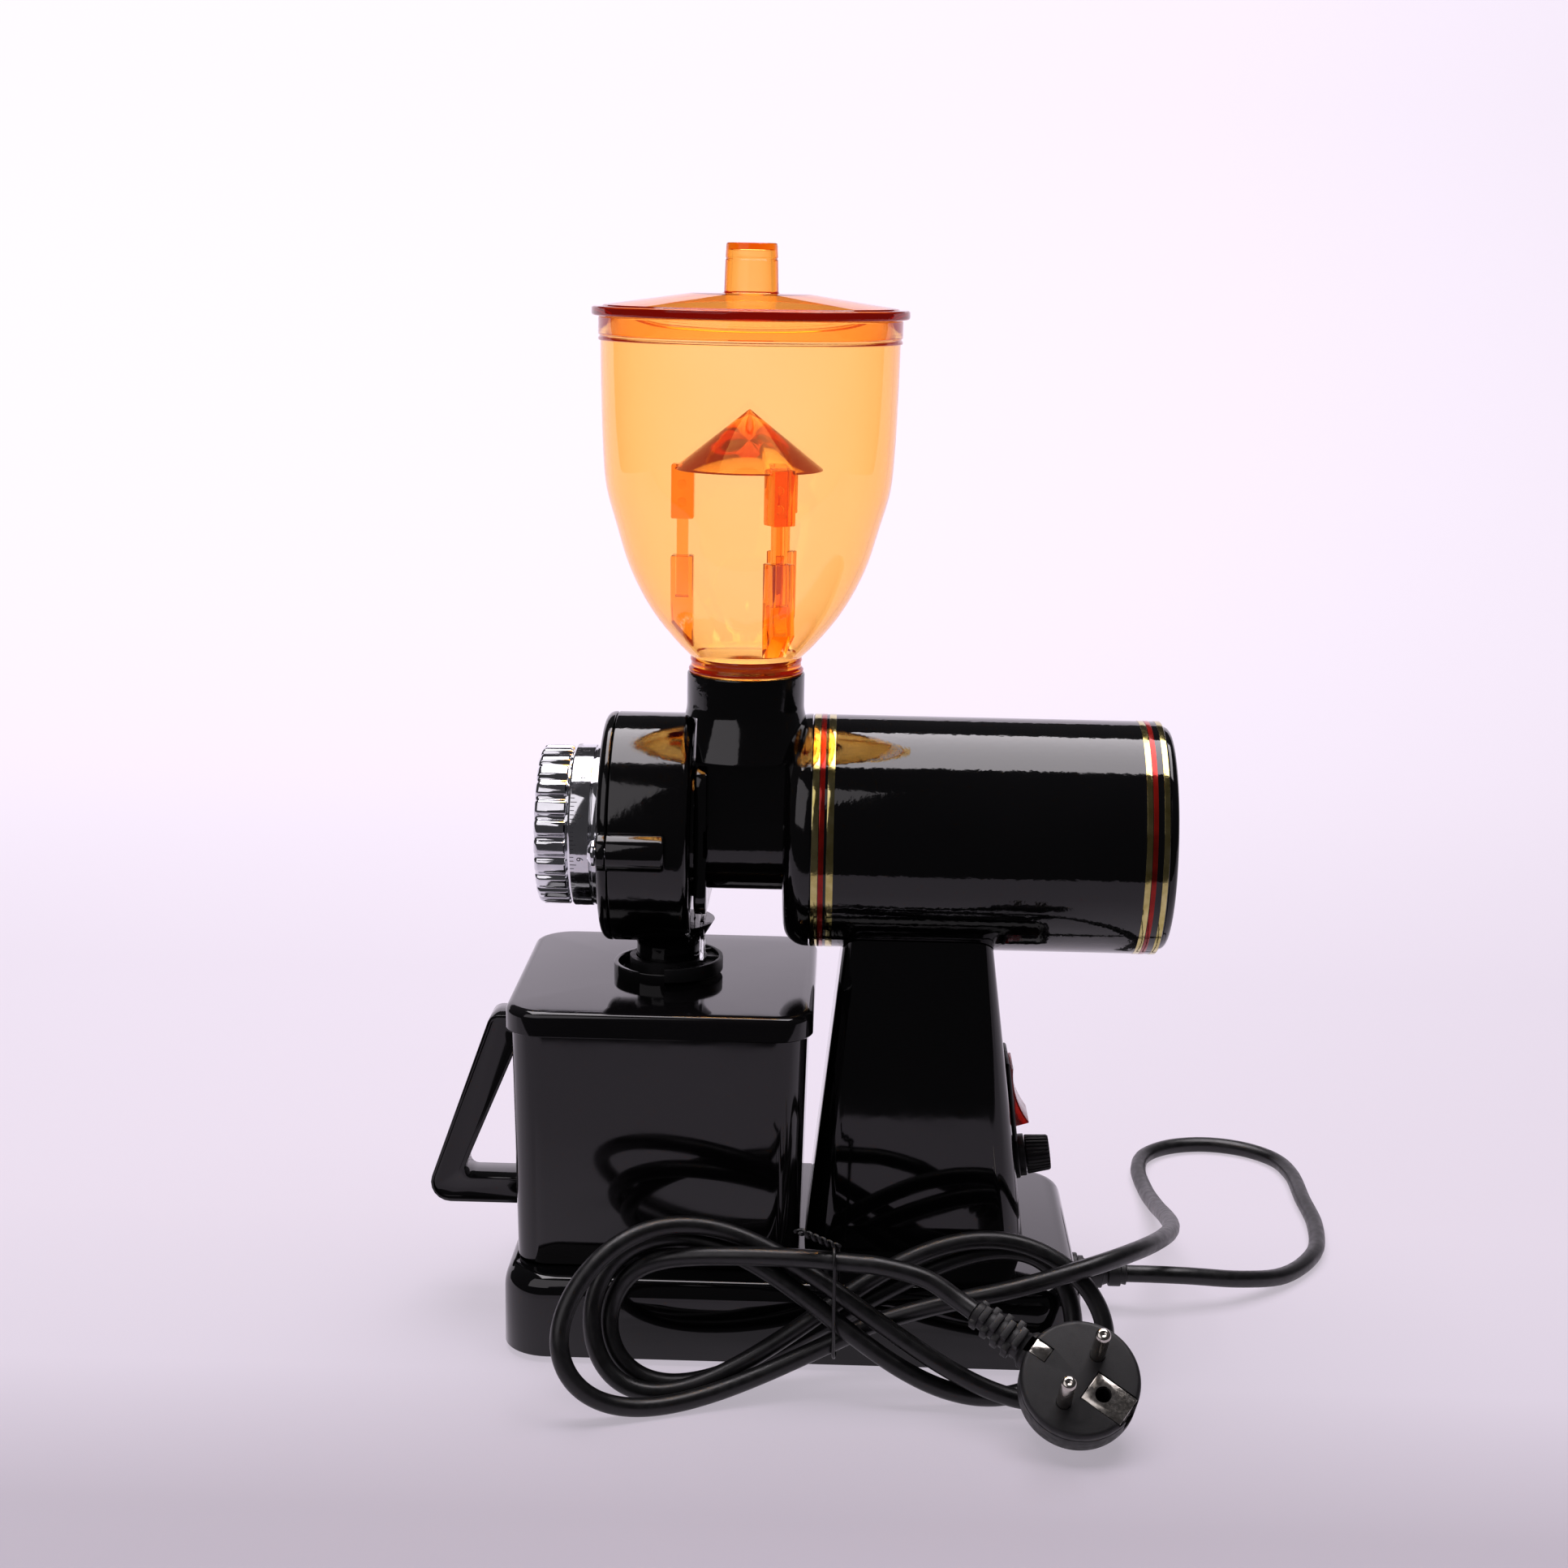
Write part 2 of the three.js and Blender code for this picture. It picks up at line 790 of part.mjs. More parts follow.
// Neck casting: flange, auger barrel, hopper neck and the motor's front bell in one piece
function neckCasting() {
  const bell = revolve(
    [
      [0, bellFront],
      ...edgeArc(motorRadius - bellRound, bellFront + bellRound, bellRound, -Math.PI / 2, 0),
      [motorRadius, bellEnd],
      [spigotOuter, bellEnd],
      [spigotOuter, bellEnd + spigotLength],
      [0, bellEnd + spigotLength],
    ],
    bigRound,
  );
  const flangeFront = -flangeRear - flangeThickness;
  const flange = slab(roundedRectangle(flangeHalf, flangeHalf, flangeCorner), flangeFront, -flangeRear);
  const barrel = rod(barrelRadius, flangeFront + overrun, bellFront + overrun, midRound);
  const neck = rod(neckRadius, 0, neckHeight, midRound);
  const flareTop = neckHeight - neckSocket;
  const skirt = revolve(
    [[0, 0], [flareRadius, 0], [flareRadius, flareTop - flareHeight], [neckRadius, flareTop], [0, flareTop]],
    midRound,
  );
  const drumSpace = block(
    [-2 * drumRadius, -drumRadius, -overrun],
    [flangeFront, drumRadius, drumRadius + shadowGap],
  );
  const sideSpan = [-1, 1].flatMap((side) => {
    const y = side * (barrelRadius + overrun);
    return [
      alongX(rod(tieBossRadius, -flangeRear - overrun, tieBossLength - flangeRear)).translate(0, y, 0),
      alongX(rod(tieStemRadius, -flangeRear, bellFront + overrun)).translate(0, y, 0),
    ];
  });
  const solid = joined(
    cut(joined(neck, skirt), drumSpace),
    alongX(flange),
    alongX(barrel),
    alongX(bell),
    ...sideSpan,
  );
  const throatFloor = flareTop;
  const throat = revolve(
    [
      [0, 0],
      [augerBore, 0],
      [augerBore, throatFloor - neckBore + augerBore],
      [neckBore, throatFloor],
      [neckBore, neckHeight + overrun],
      [0, neckHeight + overrun],
    ],
    midRound,
  );
  const chamber = alongX(rod(augerBore, flangeFront - overrun, bellFront, midRound));
  const pastSpigot = bellEnd + spigotLength + overrun;
  const inside = revolve(
    [
      [0, bellFront - overrun],
      [shaftRadius + runGap, bellFront - overrun],
      [shaftRadius + runGap, seatFloor],
      [seatRadius, seatFloor],
      [seatRadius, pastSpigot],
      [0, pastSpigot],
    ],
    midRound,
  );
  const hollow = revolveRing(
    [
      [seatRadius + bearingWall, bellFront + bellWall],
      [motorRadius - bellRound - shellWall, bellFront + bellWall],
      [spigotOuter - shellWall, bellEnd],
      [spigotOuter - shellWall, pastSpigot],
      [seatRadius + bearingWall, pastSpigot],
    ],
    bigRound,
  );
  return cut(solid, throat, chamber, alongX(inside), alongX(hollow));
}
addPiece(drive, "neck_casting", neckCasting(), castBlack());

const wireMouth = rod(wireHole, -motorRadius - overrun, 0);
wireMouth.translate((pillarAxisFront + pillarAxisRear) / 2, 0, 0);
const motorTube = alongX(ring(motorRadius - shellWall, motorRadius, shellStart, shellEnd, bigRound));
addPiece(drive, "motor_shell", cut(motorTube, wireMouth), glossBlack());

// Rear cap with vent slots, a spigot in the shell and the rear bearing's seat
function rearCap() {
  const body = revolve(
    [
      [0, rearSeatEnd],
      [seatRadius, rearSeatEnd],
      [seatRadius, rearSeatStart],
      [seatRadius + bearingWall, rearSeatStart],
      [seatRadius + bearingWall, capStart],
      [spigotOuter - shellWall, capStart],
      [spigotOuter - shellWall, shellEnd - spigotLength],
      [spigotOuter, shellEnd - spigotLength],
      [spigotOuter, capStart],
      [motorRadius - capInset, capStart],
      ...edgeArc(motorRadius - capInset - capRound, capEnd - capRound, capRound, 0, Math.PI / 2, 3),
      [0, capEnd],
    ],
    bigRound,
  );
  const slots = [];
  for (let i = 0; i < ventSlots; i++) {
    const y = (i - (ventSlots - 1) / 2) * ventPitch;
    const inner = seatRadius + bearingWall + ventWidth / 2;
    const outer = motorRadius - 3 * capRound;
    const from = Math.sqrt(Math.max(inner ** 2 - y ** 2, 0));
    const to = Math.sqrt(outer ** 2 - y ** 2);
    [-1, 1].forEach((side) => {
      const ends = [side * from, side * to].sort((a, b) => a - b);
      const half = ventWidth / 2;
      slots.push(block([capStart - overrun, y - half, ends[0]], [capEnd + overrun, y + half, ends[1]]));
    });
  }
  return cut(alongX(body), ...slots);
}
addPiece(drive, "rear_cap", rearCap(), glossBlack());

// Stator with slots, its end windings and the bearings
function statorCore() {
  const shape = new THREE.Shape();
  shape.absarc(0, 0, motorRadius - shellWall - seatGap, 0, 2 * Math.PI);
  const bore = new THREE.Path();
  for (let slot = 0; slot < statorSlots; slot++) {
    const middle = (2 * Math.PI * slot) / statorSlots;
    const mouth = slotWidth / 2 / statorBore;
    const root = slotWidth / 2 / (statorBore + slotDepth);
    const pitch = (2 * Math.PI) / statorSlots;
    const corners = [
      [statorBore, middle - mouth],
      [statorBore + slotDepth, middle - root],
      [statorBore + slotDepth, middle + root],
      [statorBore, middle + mouth],
      [statorBore, middle + pitch / 2],
    ];
    corners.forEach(([radius, angle], i) => {
      const [x, y] = [radius * Math.cos(angle), radius * Math.sin(angle)];
      if (slot || i) bore.lineTo(x, y);
      else bore.moveTo(x, y);
    });
  }
  bore.closePath();
  shape.holes.push(bore);
  return alongX(slab(shape, statorStart, statorStart + statorLength, bigRound / 2));
}
addPiece(drive, "stator_core", statorCore(), iron());

const statorEnd = statorStart + statorLength;
function windingRing(from) {
  const middle = (windingInner + windingOuter) / 2;
  const crown = (windingOuter - windingInner) / 4;
  return alongX(
    revolveRing(
      [
        [windingInner, from + crown],
        [middle, from],
        [windingOuter, from + crown],
        [windingOuter, from + windingLength - crown],
        [middle, from + windingLength],
        [windingInner, from + windingLength - crown],
      ],
      midRound,
    ),
  );
}
addPiece(drive, "winding_front", windingRing(statorStart - seatGap - windingLength), copper());
addPiece(drive, "winding_rear", windingRing(statorEnd + seatGap), copper());

const shaftFit = shaftRadius + boreGap;
const bearingFace = seatGap;
const frontBearing = ring(shaftFit, bearingRadius, seatFloor + bearingFace, seatFloor + bearingWidth);
const rearBearing = ring(shaftFit, bearingRadius, rearSeatStart, rearSeatEnd - bearingFace);
addPiece(drive, "bearing_front", alongX(frontBearing), steel());
addPiece(drive, "bearing_rear", alongX(rearBearing), steel());

// Rotor: shaft, core, fan, auger, spider and turning burr
const carrierFront = coverRear + 1.3 * carrierGap - coverRear;
const fixedCarrierFront = coverRear + carrierFront;
const fixedCarrierRear = fixedCarrierFront + carrierThickness;
const fixedBurrBack = fixedCarrierRear + seatGap;
const fixedBurrFace = fixedBurrBack + burrThickness;
const turningBurrFace = fixedBurrFace + burrGap;
const turningBurrBack = turningBurrFace + burrThickness;
const spiderFront = turningBurrBack + seatGap;
const spiderRear = spiderFront + spiderThickness;

const shaftNose = turningBurrFace + toothDepth;
const shaftTail = rearSeatEnd - runGap;
addPiece(drive, "drive_shaft", alongX(rod(shaftRadius, shaftNose, shaftTail, smallRound * 2)), steel());
const rotorCore = ring(shaftFit, statorBore - airGap, statorStart, statorEnd);
addPiece(drive, "rotor_core", alongX(rotorCore), iron());

function coolingFan() {
  const hub = ring(shaftFit, fanHub, fanStart, fanStart + fanWidth);
  const disc = ring(shaftFit, fanRadius, fanStart, fanStart + bladeThickness);
  const blades = [];
  for (let i = 0; i < fanBlades; i++) {
    const blade = block(
      [fanHub - overrun, -bladeThickness / 2, fanStart],
      [fanRadius - bladeThickness, bladeThickness / 2, fanStart + fanWidth],
    );
    blades.push(blade.rotateZ((2 * Math.PI * i) / fanBlades));
  }
  return alongX(joined(disc, hub, ...blades));
}
addPiece(drive, "cooling_fan", coolingFan(), mattBlack());

// Auger: a helical flight on a core, sweeping the beans from the neck into the burrs
function augerScrew() {
  const from = bellFront - augerEndGap - augerLength;
  const turns = (augerLength - flightThickness) / augerPitch;
  const steps = Math.ceil(turns * smallRound);
  const inner = shaftFit + (augerCore - shaftFit) / 2;
  const sections = [];
  for (let step = 0; step <= steps; step++) {
    const share = step / steps;
    const angle = 2 * Math.PI * turns * share;
    const z = from + turns * augerPitch * share;
    const corners = [[inner, z], [flightRadius, z], [flightRadius, z + flightThickness], [inner, z + flightThickness]];
    sections.push(corners.map(([radius, height]) => [radius * Math.cos(angle), radius * Math.sin(angle), height]));
  }
  const positions = [];
  const quad = (a, b, c, d) => positions.push(...a, ...b, ...c, ...a, ...c, ...d);
  sections.slice(1).forEach((next, i) => {
    const last = sections[i];
    last.forEach((corner, k) => quad(corner, next[k], next[(k + 1) % 4], last[(k + 1) % 4]));
  });
  quad(...sections[0]);
  quad(...[...sections[steps]].reverse());
  const flight = new THREE.BufferGeometry();
  flight.setAttribute("position", new THREE.Float32BufferAttribute(positions, 3));
  return alongX(joined(ring(shaftFit, augerCore, from, from + augerLength), flight));
}
addPiece(drive, "auger", augerScrew(), steel());

// Spider: a hub and ring joined by arms, open between them for the beans
function burrSpider() {
  const hub = ring(shaftFit, spiderHub, spiderFront, spiderRear);
  const rim = ring(spiderRing, burrRadius, spiderFront, spiderRear);
  const arms = [];
  for (let i = 0; i < spiderArms; i++) {
    const arm = block(
      [spiderHub - overrun, -armWidth / 2, spiderFront],
      [spiderRing + overrun, armWidth / 2, spiderRear],
    );
    arms.push(arm.rotateZ((2 * Math.PI * i) / spiderArms));
  }
  return alongX(joined(hub, rim, ...arms));
}
addPiece(drive, "burr_spider", burrSpider(), steel());

// A flat burr: leaning saw teeth, deep at the feed throat and shallow at the rim. Its back is at z = 0.
function burrGeometry() {
  const radiusShares = [0, 0.4, 1];
  const depthShares = [1, 0.6, 0];
  const width = burrRadius - burrBore;
  const columns = burrTeeth * 2;
  const columnPoints = [];
  for (let column = 0; column < columns; column++) {
    const root = column % 2;
    columnPoints.push(
      radiusShares.map((share, i) => {
        const radius = burrBore + width * share;
        const pitch = (2 * Math.PI) / burrTeeth;
        const angle = pitch * (Math.floor(column / 2) + root * 0.25) + toothLean * share;
        const depth = rimToothDepth + (toothDepth - rimToothDepth) * depthShares[i];
        return { radius, angle, top: burrThickness - (root ? depth : 0) };
      }),
    );
  }
  const at = ({ radius, angle }, height) => [radius * Math.cos(angle), radius * Math.sin(angle), height];
  const positions = [];
  const quad = (a, b, c, d) => positions.push(...a, ...b, ...c, ...a, ...c, ...d);
  columnPoints.forEach((here, column) => {
    const next = columnPoints[(column + 1) % columns];
    const last = here.length - 1;
    for (let i = 0; i < last; i++) {
      quad(at(here[i], here[i].top), at(here[i + 1], here[i + 1].top), at(next[i + 1], next[i + 1].top), at(next[i], next[i].top));
      quad(at(here[i + 1], 0), at(here[i], 0), at(next[i], 0), at(next[i + 1], 0));
    }
    quad(at(here[0], 0), at(here[0], here[0].top), at(next[0], next[0].top), at(next[0], 0));
    quad(at(here[last], here[last].top), at(here[last], 0), at(next[last], 0), at(next[last], next[last].top));
  });
  const geometry = new THREE.BufferGeometry();
  geometry.setAttribute("position", new THREE.Float32BufferAttribute(positions, 3));
  return geometry;
}
const fixedBurr = addPiece(drive, "fixed_burr", alongX(burrGeometry()), steel());
fixedBurr.position.x = fixedBurrBack;
const turningBurr = addPiece(drive, "rotating_burr", alongX(burrGeometry()), steel());
turningBurr.position.x = turningBurrBack;
turningBurr.rotation.z = Math.PI;

// Burr carrier: a disc on a keyed stem that the dial's thread moves in and out
const keyReach = stemRadius + keyHeight;
function burrCarrier() {
  const threadEnd = hubEnd - threadLength;
  const stemFront = hubEnd + carrierGap;
  const turned = revolve(
    [
      [0, threadEnd],
      [threadRadius, threadEnd],
      [threadRadius, stemFront],
      [stemRadius, stemFront],
      [stemRadius, fixedCarrierFront],
      [burrRadius, fixedCarrierFront],
      [burrRadius, fixedCarrierRear],
      [0, fixedCarrierRear],
    ],
    midRound,
  );
  const key = block(
    [stemFront, -keyWidth / 2, stemRadius - overrun],
    [fixedCarrierFront + overrun, keyWidth / 2, keyReach],
  );
  return joined(alongX(turned), key);
}
addPiece(drive, "burr_carrier", burrCarrier(), steel());

// Grinding drum: open in front, with the chute below and a screw boss on each side
const bossPlace = drumRadius - seatGap;
const drumInner = drumRadius - drumWall;
const chuteEnd = lidTop + collarRise - axisHeight;
function grindingDrum() {
  const shell = revolveRing(
    [
      [augerBore + seatGap, drumRear - drumBackWall],
      [drumInner, drumRear - drumBackWall],
      [drumInner, drumFront],
      [drumRadius, drumFront],
      ...edgeArc(drumRadius - drumWall, drumRear - drumWall, drumWall, 0, Math.PI / 2, 3),
      [padRadius, drumRear],
      [padRadius, drumRear + shadowGap - seatGap],
      [augerBore + seatGap, drumRear + shadowGap - seatGap],
    ],
    bigRound,
  );
  const chute = rod(chuteRadius, chuteEnd, -drumInner + overrun, midRound);
  const chuteHole = rod(chuteBore, chuteEnd - overrun, -drumInner / 2, midRound).translate(-chuteReach, 0, 0);
  const bosses = [-1, 1].map((side) => {
    const end = drumFront + earBossLength;
    const boss = revolve(
      [
        [0, drumFront],
        [earRadius, drumFront],
        ...edgeArc(earRadius - screwRadius, end - screwRadius, screwRadius, 0, Math.PI / 2, 3),
        [0, end],
      ],
      smallRound,
    );
    return alongX(boss).translate(0, side * bossPlace, 0);
  });
  const inside = alongX(rod(drumInner, drumFront, drumRear - drumBackWall, bigRound));
  const screwHoles = [-1, 1].map((side) => {
    const hole = alongX(rod(screwRadius + seatGap, drumFront - overrun, drumFront + screwLength));
    return hole.translate(0, side * (bossPlace + screwRadius), 0);
  });
  const whole = joined(alongX(shell), chute.translate(-chuteReach, 0, 0), ...bosses);
  return cut(whole, inside, chuteHole, ...screwHoles);
}
addPiece(drive, "grinding_drum", grindingDrum(), castBlack());

// Front cover with its hub and two ears
const holePlace = bossPlace + screwRadius;
function chamberCover() {
  const body = revolveRing(
    [
      [stemRadius + seatGap, coverRear],
      [drumRadius, coverRear],
      ...edgeArc(drumRadius - coverRound, coverFront + coverRound, coverRound, 0, -Math.PI / 2),
      [hubRadius, coverFront],
      [hubRadius, hubEnd],
      [stemRadius + seatGap, hubEnd],
    ],
    bigRound,
  );
  const ears = [-1, 1].map((side) =>
    alongX(rod(earRadius, coverRear - earDepth, coverRear)).translate(0, side * bossPlace, 0),
  );
  const holes = [-1, 1].map((side) => {
    const hole = alongX(rod(screwRadius + seatGap, coverFront - overrun, coverRear + overrun));
    return hole.translate(0, side * holePlace, 0);
  });
  const headRoom = [-1, 1].map((side) => {
    const room = alongX(rod(screwHead + seatGap, coverFront - overrun, coverRear - earDepth));
    return room.translate(0, side * holePlace, 0);
  });
  const keyway = block(
    [hubEnd - overrun, -keyWidth / 2 - seatGap, 0],
    [coverRear + overrun, keyWidth / 2 + seatGap, keyReach + seatGap],
  );
  return cut(joined(alongX(body), ...ears), keyway, ...holes, ...headRoom);
}
addPiece(drive, "chamber_cover", chamberCover(), castBlack());

[["cover_screw_near", -1], ["cover_screw_far", 1]].forEach(([name, side]) => {
  const seat = coverRear - earDepth - seatGap;
  const screw = revolve(
    [
      [0, seat - screwHeadHeight],
      [screwHead / 2, seat - screwHeadHeight],
      [screwHead, seat - screwHeadHeight / 2],
      [screwHead, seat],
      [screwRadius, seat],
      [screwRadius, drumFront + screwLength - overrun],
      [0, drumFront + screwLength - overrun],
    ],
    smallRound,
  );
  addPiece(drive, name, alongX(screw).translate(0, side * holePlace, 0), chrome());
});

// Dial: a fluted grip and a graduated skirt that turn on the cover's hub
function fluteOutline() {
  const shape = new THREE.Shape();
  const angleShares = [0, 0.54, 0.68, 0.86];
  const depthShares = [0, 0, 1, 1];
  for (let i = 0; i < gripFlutes; i++) {
    angleShares.forEach((share, k) => {
      const angle = (2 * Math.PI * (i + share)) / gripFlutes;
      const radius = gripRadius - gripChamfer - fluteDepth * depthShares[k];
      const [x, y] = [radius * Math.cos(angle), radius * Math.sin(angle)];
      if (i || k) shape.lineTo(x, y);
      else shape.moveTo(x, y);
    });
  }
  return shape;
}
function adjustingDial() {
  const grip = new THREE.ExtrudeGeometry(fluteOutline(), {
    depth: gripDepth - 2 * gripChamfer,
    bevelThickness: gripChamfer,
    bevelSize: gripChamfer,
    bevelSegments: 1,
  }).translate(0, 0, dialFront + gripChamfer);
  const stepStart = dialRear - (skirtDepth - stepWidth) / 3;
  const skirt = revolve(
    [
      [0, skirtEnd - gripChamfer],
      [gripRadius - fluteDepth, skirtEnd - gripChamfer],
      [gripRadius - fluteDepth, skirtEnd + stepDepth],
      [skirtRadius, skirtEnd + 2 * stepDepth],
      [skirtRadius, stepStart - stepWidth],
      [skirtRadius - stepDepth, stepStart - stepWidth],
      [skirtRadius - stepDepth, stepStart],
      [skirtRadius, stepStart],
      [skirtRadius, dialRear],
      [0, dialRear],
    ],
    bigRound,
  );
  const hubSpace = rod(hubRadius + seatGap, hubEnd - seatGap, dialRear + overrun, bigRound);
  const threadSpace = rod(threadRadius + seatGap, hubEnd - threadLength - faceDepth, dialRear, midRound);
  const faceRecess = rod(gripRadius - 3 * gripChamfer, dialFront - overrun, dialFront + stepDepth, midRound);
  return alongX(cut(joined(grip, skirt), hubSpace, threadSpace, faceRecess));
}
addPiece(drive, "adjusting_dial", adjustingDial(), chrome());

// Collar under the drum, round the chute, and the clear strip that stands on it
const collar = addGroup(machine, -chuteReach, 0, lidTop + collarRise + seatGap);
function halfRing(inner, outer, from, to, startAngle) {
  const shape = new THREE.Shape();
  shape.absarc(0, 0, outer, startAngle, startAngle + Math.PI);
  shape.absarc(0, 0, inner, startAngle + Math.PI, startAngle, true);
  return slab(shape, from, to, smallRound / 2);
}
function chuteCollar() {
  const top = collarHeight - seatGap;
  const hub = ring(chuteRadius + seatGap, collarHub, 0, top);
  const wall = halfRing(collarRadius - collarWall, collarRadius, 0, top, -Math.PI / 2);
  const floor = halfRing(collarHub - collarWall, collarRadius - collarWall / 2, 0, collarFloor, -Math.PI / 2);
  const ribs = [];
  for (let i = 0; i < collarRibs; i++) {
    const rib = block(
      [collarHub - collarWall, -collarRibWidth / 2, 0],
      [collarRadius - collarWall / 2, collarRibWidth / 2, top],
    );
    ribs.push(rib.rotateZ(((i + 0.5) / collarRibs - 0.5) * Math.PI));
  }
  return joined(hub, wall, floor, ...ribs);
}
addPiece(collar, "chute_collar", chuteCollar(), mattBlack());
const flapFront = chuteRadius + seatGap;
const flap = block([flapFront, -flapHalf, collarHeight], [flapFront + flapThickness, flapHalf, collarHeight + flapHeight]);
addPiece(collar, "clear_strip", flap, clear());

// Canister: a tapered square box with a loop handle, and a lid that the chute drops through
const canister = addGroup(machine, -chuteReach, 0, baseTop + seatGap);
const lidFoot = lidTop - baseTop - seatGap - lidHeight;
const lidUnder = lidFoot + lidHeight - lidPlate;
const canisterHeight = lidUnder - seatGap;
function canisterSection(z, inset, height = z) {
  const half = canisterFootHalf + ((canisterTopHalf - canisterFootHalf) * height) / canisterHeight - inset;
  return { z, front: -half, rear: half, half, corner: canisterCorner - inset };
}
function canisterBox() {
  const outer = loft([canisterSection(0, 0), canisterSection(canisterHeight, 0)]);
  const inner = loft([
    canisterSection(canisterWall, canisterWall),
    canisterSection(canisterHeight + overrun, canisterWall),
  ]);
  return cut(outer, inner);
}
addPiece(canister, "canister_body", canisterBox(), glossBlack());

// The handle's outline moved in by a margin; its ends stop short of the box's wall by that margin
function handleOutline(margin) {
  const wallSide = -canisterFootHalf + canisterWall - 2 * margin;
  const top = handleTop - margin;
  const foot = handleFoot + margin;
  const left = -canisterTopHalf - handleReach + margin;
  const topLeft = -canisterTopHalf - handleTopReach + margin / 2;
  const slope = (topLeft - left) / (top - foot - handleRound);
  const shape = new THREE.Shape();
  shape.moveTo(wallSide, foot);
  shape.lineTo(left + handleRound, foot);
  shape.quadraticCurveTo(left, foot, left, foot + handleRound);
  shape.lineTo(topLeft - slope * handleRim, top - handleRim);
  shape.quadraticCurveTo(topLeft, top, topLeft + handleRim, top);
  shape.lineTo(wallSide, top);
  return shape;
}
// The finger opening, made larger by a margin
function handleOpening(margin) {
  const bar = handleBar - margin;
  const foot = handleFoot + bar;
  const left = -canisterTopHalf - handleReach + bar * barSlant;
  const right = -canisterFootHalf + canisterWall + overrun;
  const top = handleTop - bar * barSlant;
  const topLeft = -canisterTopHalf - 2 * handleRim - margin;
  const shape = new THREE.Shape();
  shape.moveTo(left + 2 * handleRim, foot);
  shape.lineTo(right, foot);
  shape.lineTo(right, top);
  shape.lineTo(topLeft, top);
  shape.lineTo(left + handleRim, foot + 2 * handleRim);
  shape.quadraticCurveTo(left, foot, left + 2 * handleRim, foot);
  return shape;
}
function canisterHandle() {
  const past = handleWidth + 2 * overrun;
  const bar = cut(sideways(handleOutline(0), handleWidth), sideways(handleOpening(0), past));
  const pocketWidth = 2 * pocketDepth;
  const pocket = cut(sideways(handleOutline(handleRim), pocketWidth), sideways(handleOpening(handleRim), past));
  const pockets = [-1, 1].map((side) => pocket.clone().translate(0, (side * handleWidth) / 2, 0));
  const wall = loft([
    canisterSection(-overrun, -seatGap, 0),
    canisterSection(canisterHeight + overrun, -seatGap, canisterHeight),
  ]);
  return cut(bar, wall, ...pockets);
}
addPiece(canister, "canister_handle", canisterHandle(), glossBlack());

const lid = addGroup(canister, 0, 0, lidFoot);
function lidSection(z, inset, corner) {
  const half = lidHalf - inset;
  return { z, front: -half, rear: half, half, corner };
}
function canisterLid() {
  const corner = canisterCorner + lidHalf - canisterTopHalf;
  const sections = [lidSection(0, 0, corner)];
  for (let step = 0; step < cornerSteps; step++) {
    const angle = ((step / (cornerSteps - 1)) * Math.PI) / 2;
    sections.push(lidSection(lidHeight - lidRound * (1 - Math.sin(angle)), lidRound * (1 - Math.cos(angle)), corner));
  }
  const innerHalf = lidHalf - canisterTopHalf - seatGap;
  const inside = loft([
    lidSection(-overrun, innerHalf, corner - innerHalf),
    lidSection(lidHeight - lidPlate, innerHalf, corner - innerHalf),
  ]);
  const hole = rod(lidHole, 0, lidHeight + overrun, midRound);
  const rim = halfRing(collarRadius - collarWall, collarRadius, lidHeight - overrun, lidHeight + rimHeight, Math.PI / 2);
  return joined(cut(loft(sections), inside, hole), rim);
}
addPiece(lid, "canister_lid", canisterLid(), glossBlack());

// Hopper: a blown bowl on a short neck, with sockets for the bean guard's legs
const hopper = addGroup(machine, 0, 0, axisHeight + neckHeight);
const bowlTop = bowlHeight;
const rimFoot = bowlTop - rimBand;
function bowlOutline() {
  const radiusShares = [0.378, 0.477, 0.652, 0.799, 0.887, 0.958, 0.982, 0.994, 1];
  const heightShares = [0.046, 0.088, 0.181, 0.3, 0.418, 0.528, 0.647, 0.8, 0.935];
  const points = radiusShares.map(
    (share, i) => new THREE.Vector2(bowlRadius * share, bowlHeight * heightShares[i]),
  );
  return new THREE.SplineCurve(points).getPoints(points.length - 2);
}
function hopperBowl() {
  const outer = bowlOutline().map(({ x, y }) => [x, y]);
  const inner = outer.map(([radius, height], i) => {
    const [before, after] = [outer[Math.max(i - 1, 0)], outer[Math.min(i + 1, outer.length - 1)]];
    const [run, climb] = [after[0] - before[0], after[1] - before[1]];
    const length = Math.hypot(run, climb);
    return [radius - (bowlWall * climb) / length, height + (bowlWall * run) / length];
  });
  const shell = revolveRing(
    [
      [spigotRadius, -spigotDepth],
      [spigotRadius, seatGap],
      [throatRadius + throatBead, seatGap],
      [throatRadius, beadHeight],
      [throatRadius, throatHeight - throatBead],
      ...outer,
      [rimRadius, rimFoot],
      [rimRadius, bowlTop],
      [rimRadius - rimWall, bowlTop],
      [rimRadius - rimWall, rimFoot],
      ...[...inner].reverse(),
      [spigotRadius - rimWall, beadHeight],
      [spigotRadius - rimWall, -spigotDepth],
    ],
    bigRound,
  );
  const posts = [];
  const holes = [];
  guardAngles.forEach((angle) => {
    const halfDepth = socketDepth / 2;
    const post = block(
      [socketReach - halfDepth, -socketWidth / 2, socketFoot],
      [socketReach + halfDepth, socketWidth / 2, socketTop],
    );
    const hole = block(
      [socketReach - legThickness / 2 - seatGap, -tongueWidth / 2 - seatGap, socketTop - socketHole],
      [socketReach + legThickness / 2 + seatGap, tongueWidth / 2 + seatGap, socketTop + overrun],
    );
    posts.push(post.rotateZ(angle));
    holes.push(hole.rotateZ(angle));
  });
  return cut(joined(shell, ...posts), ...holes);
}
const guardAngles = [Math.PI, Math.PI / 3, -Math.PI / 3];
addPiece(hopper, "hopper_bowl", hopperBowl(), amber());

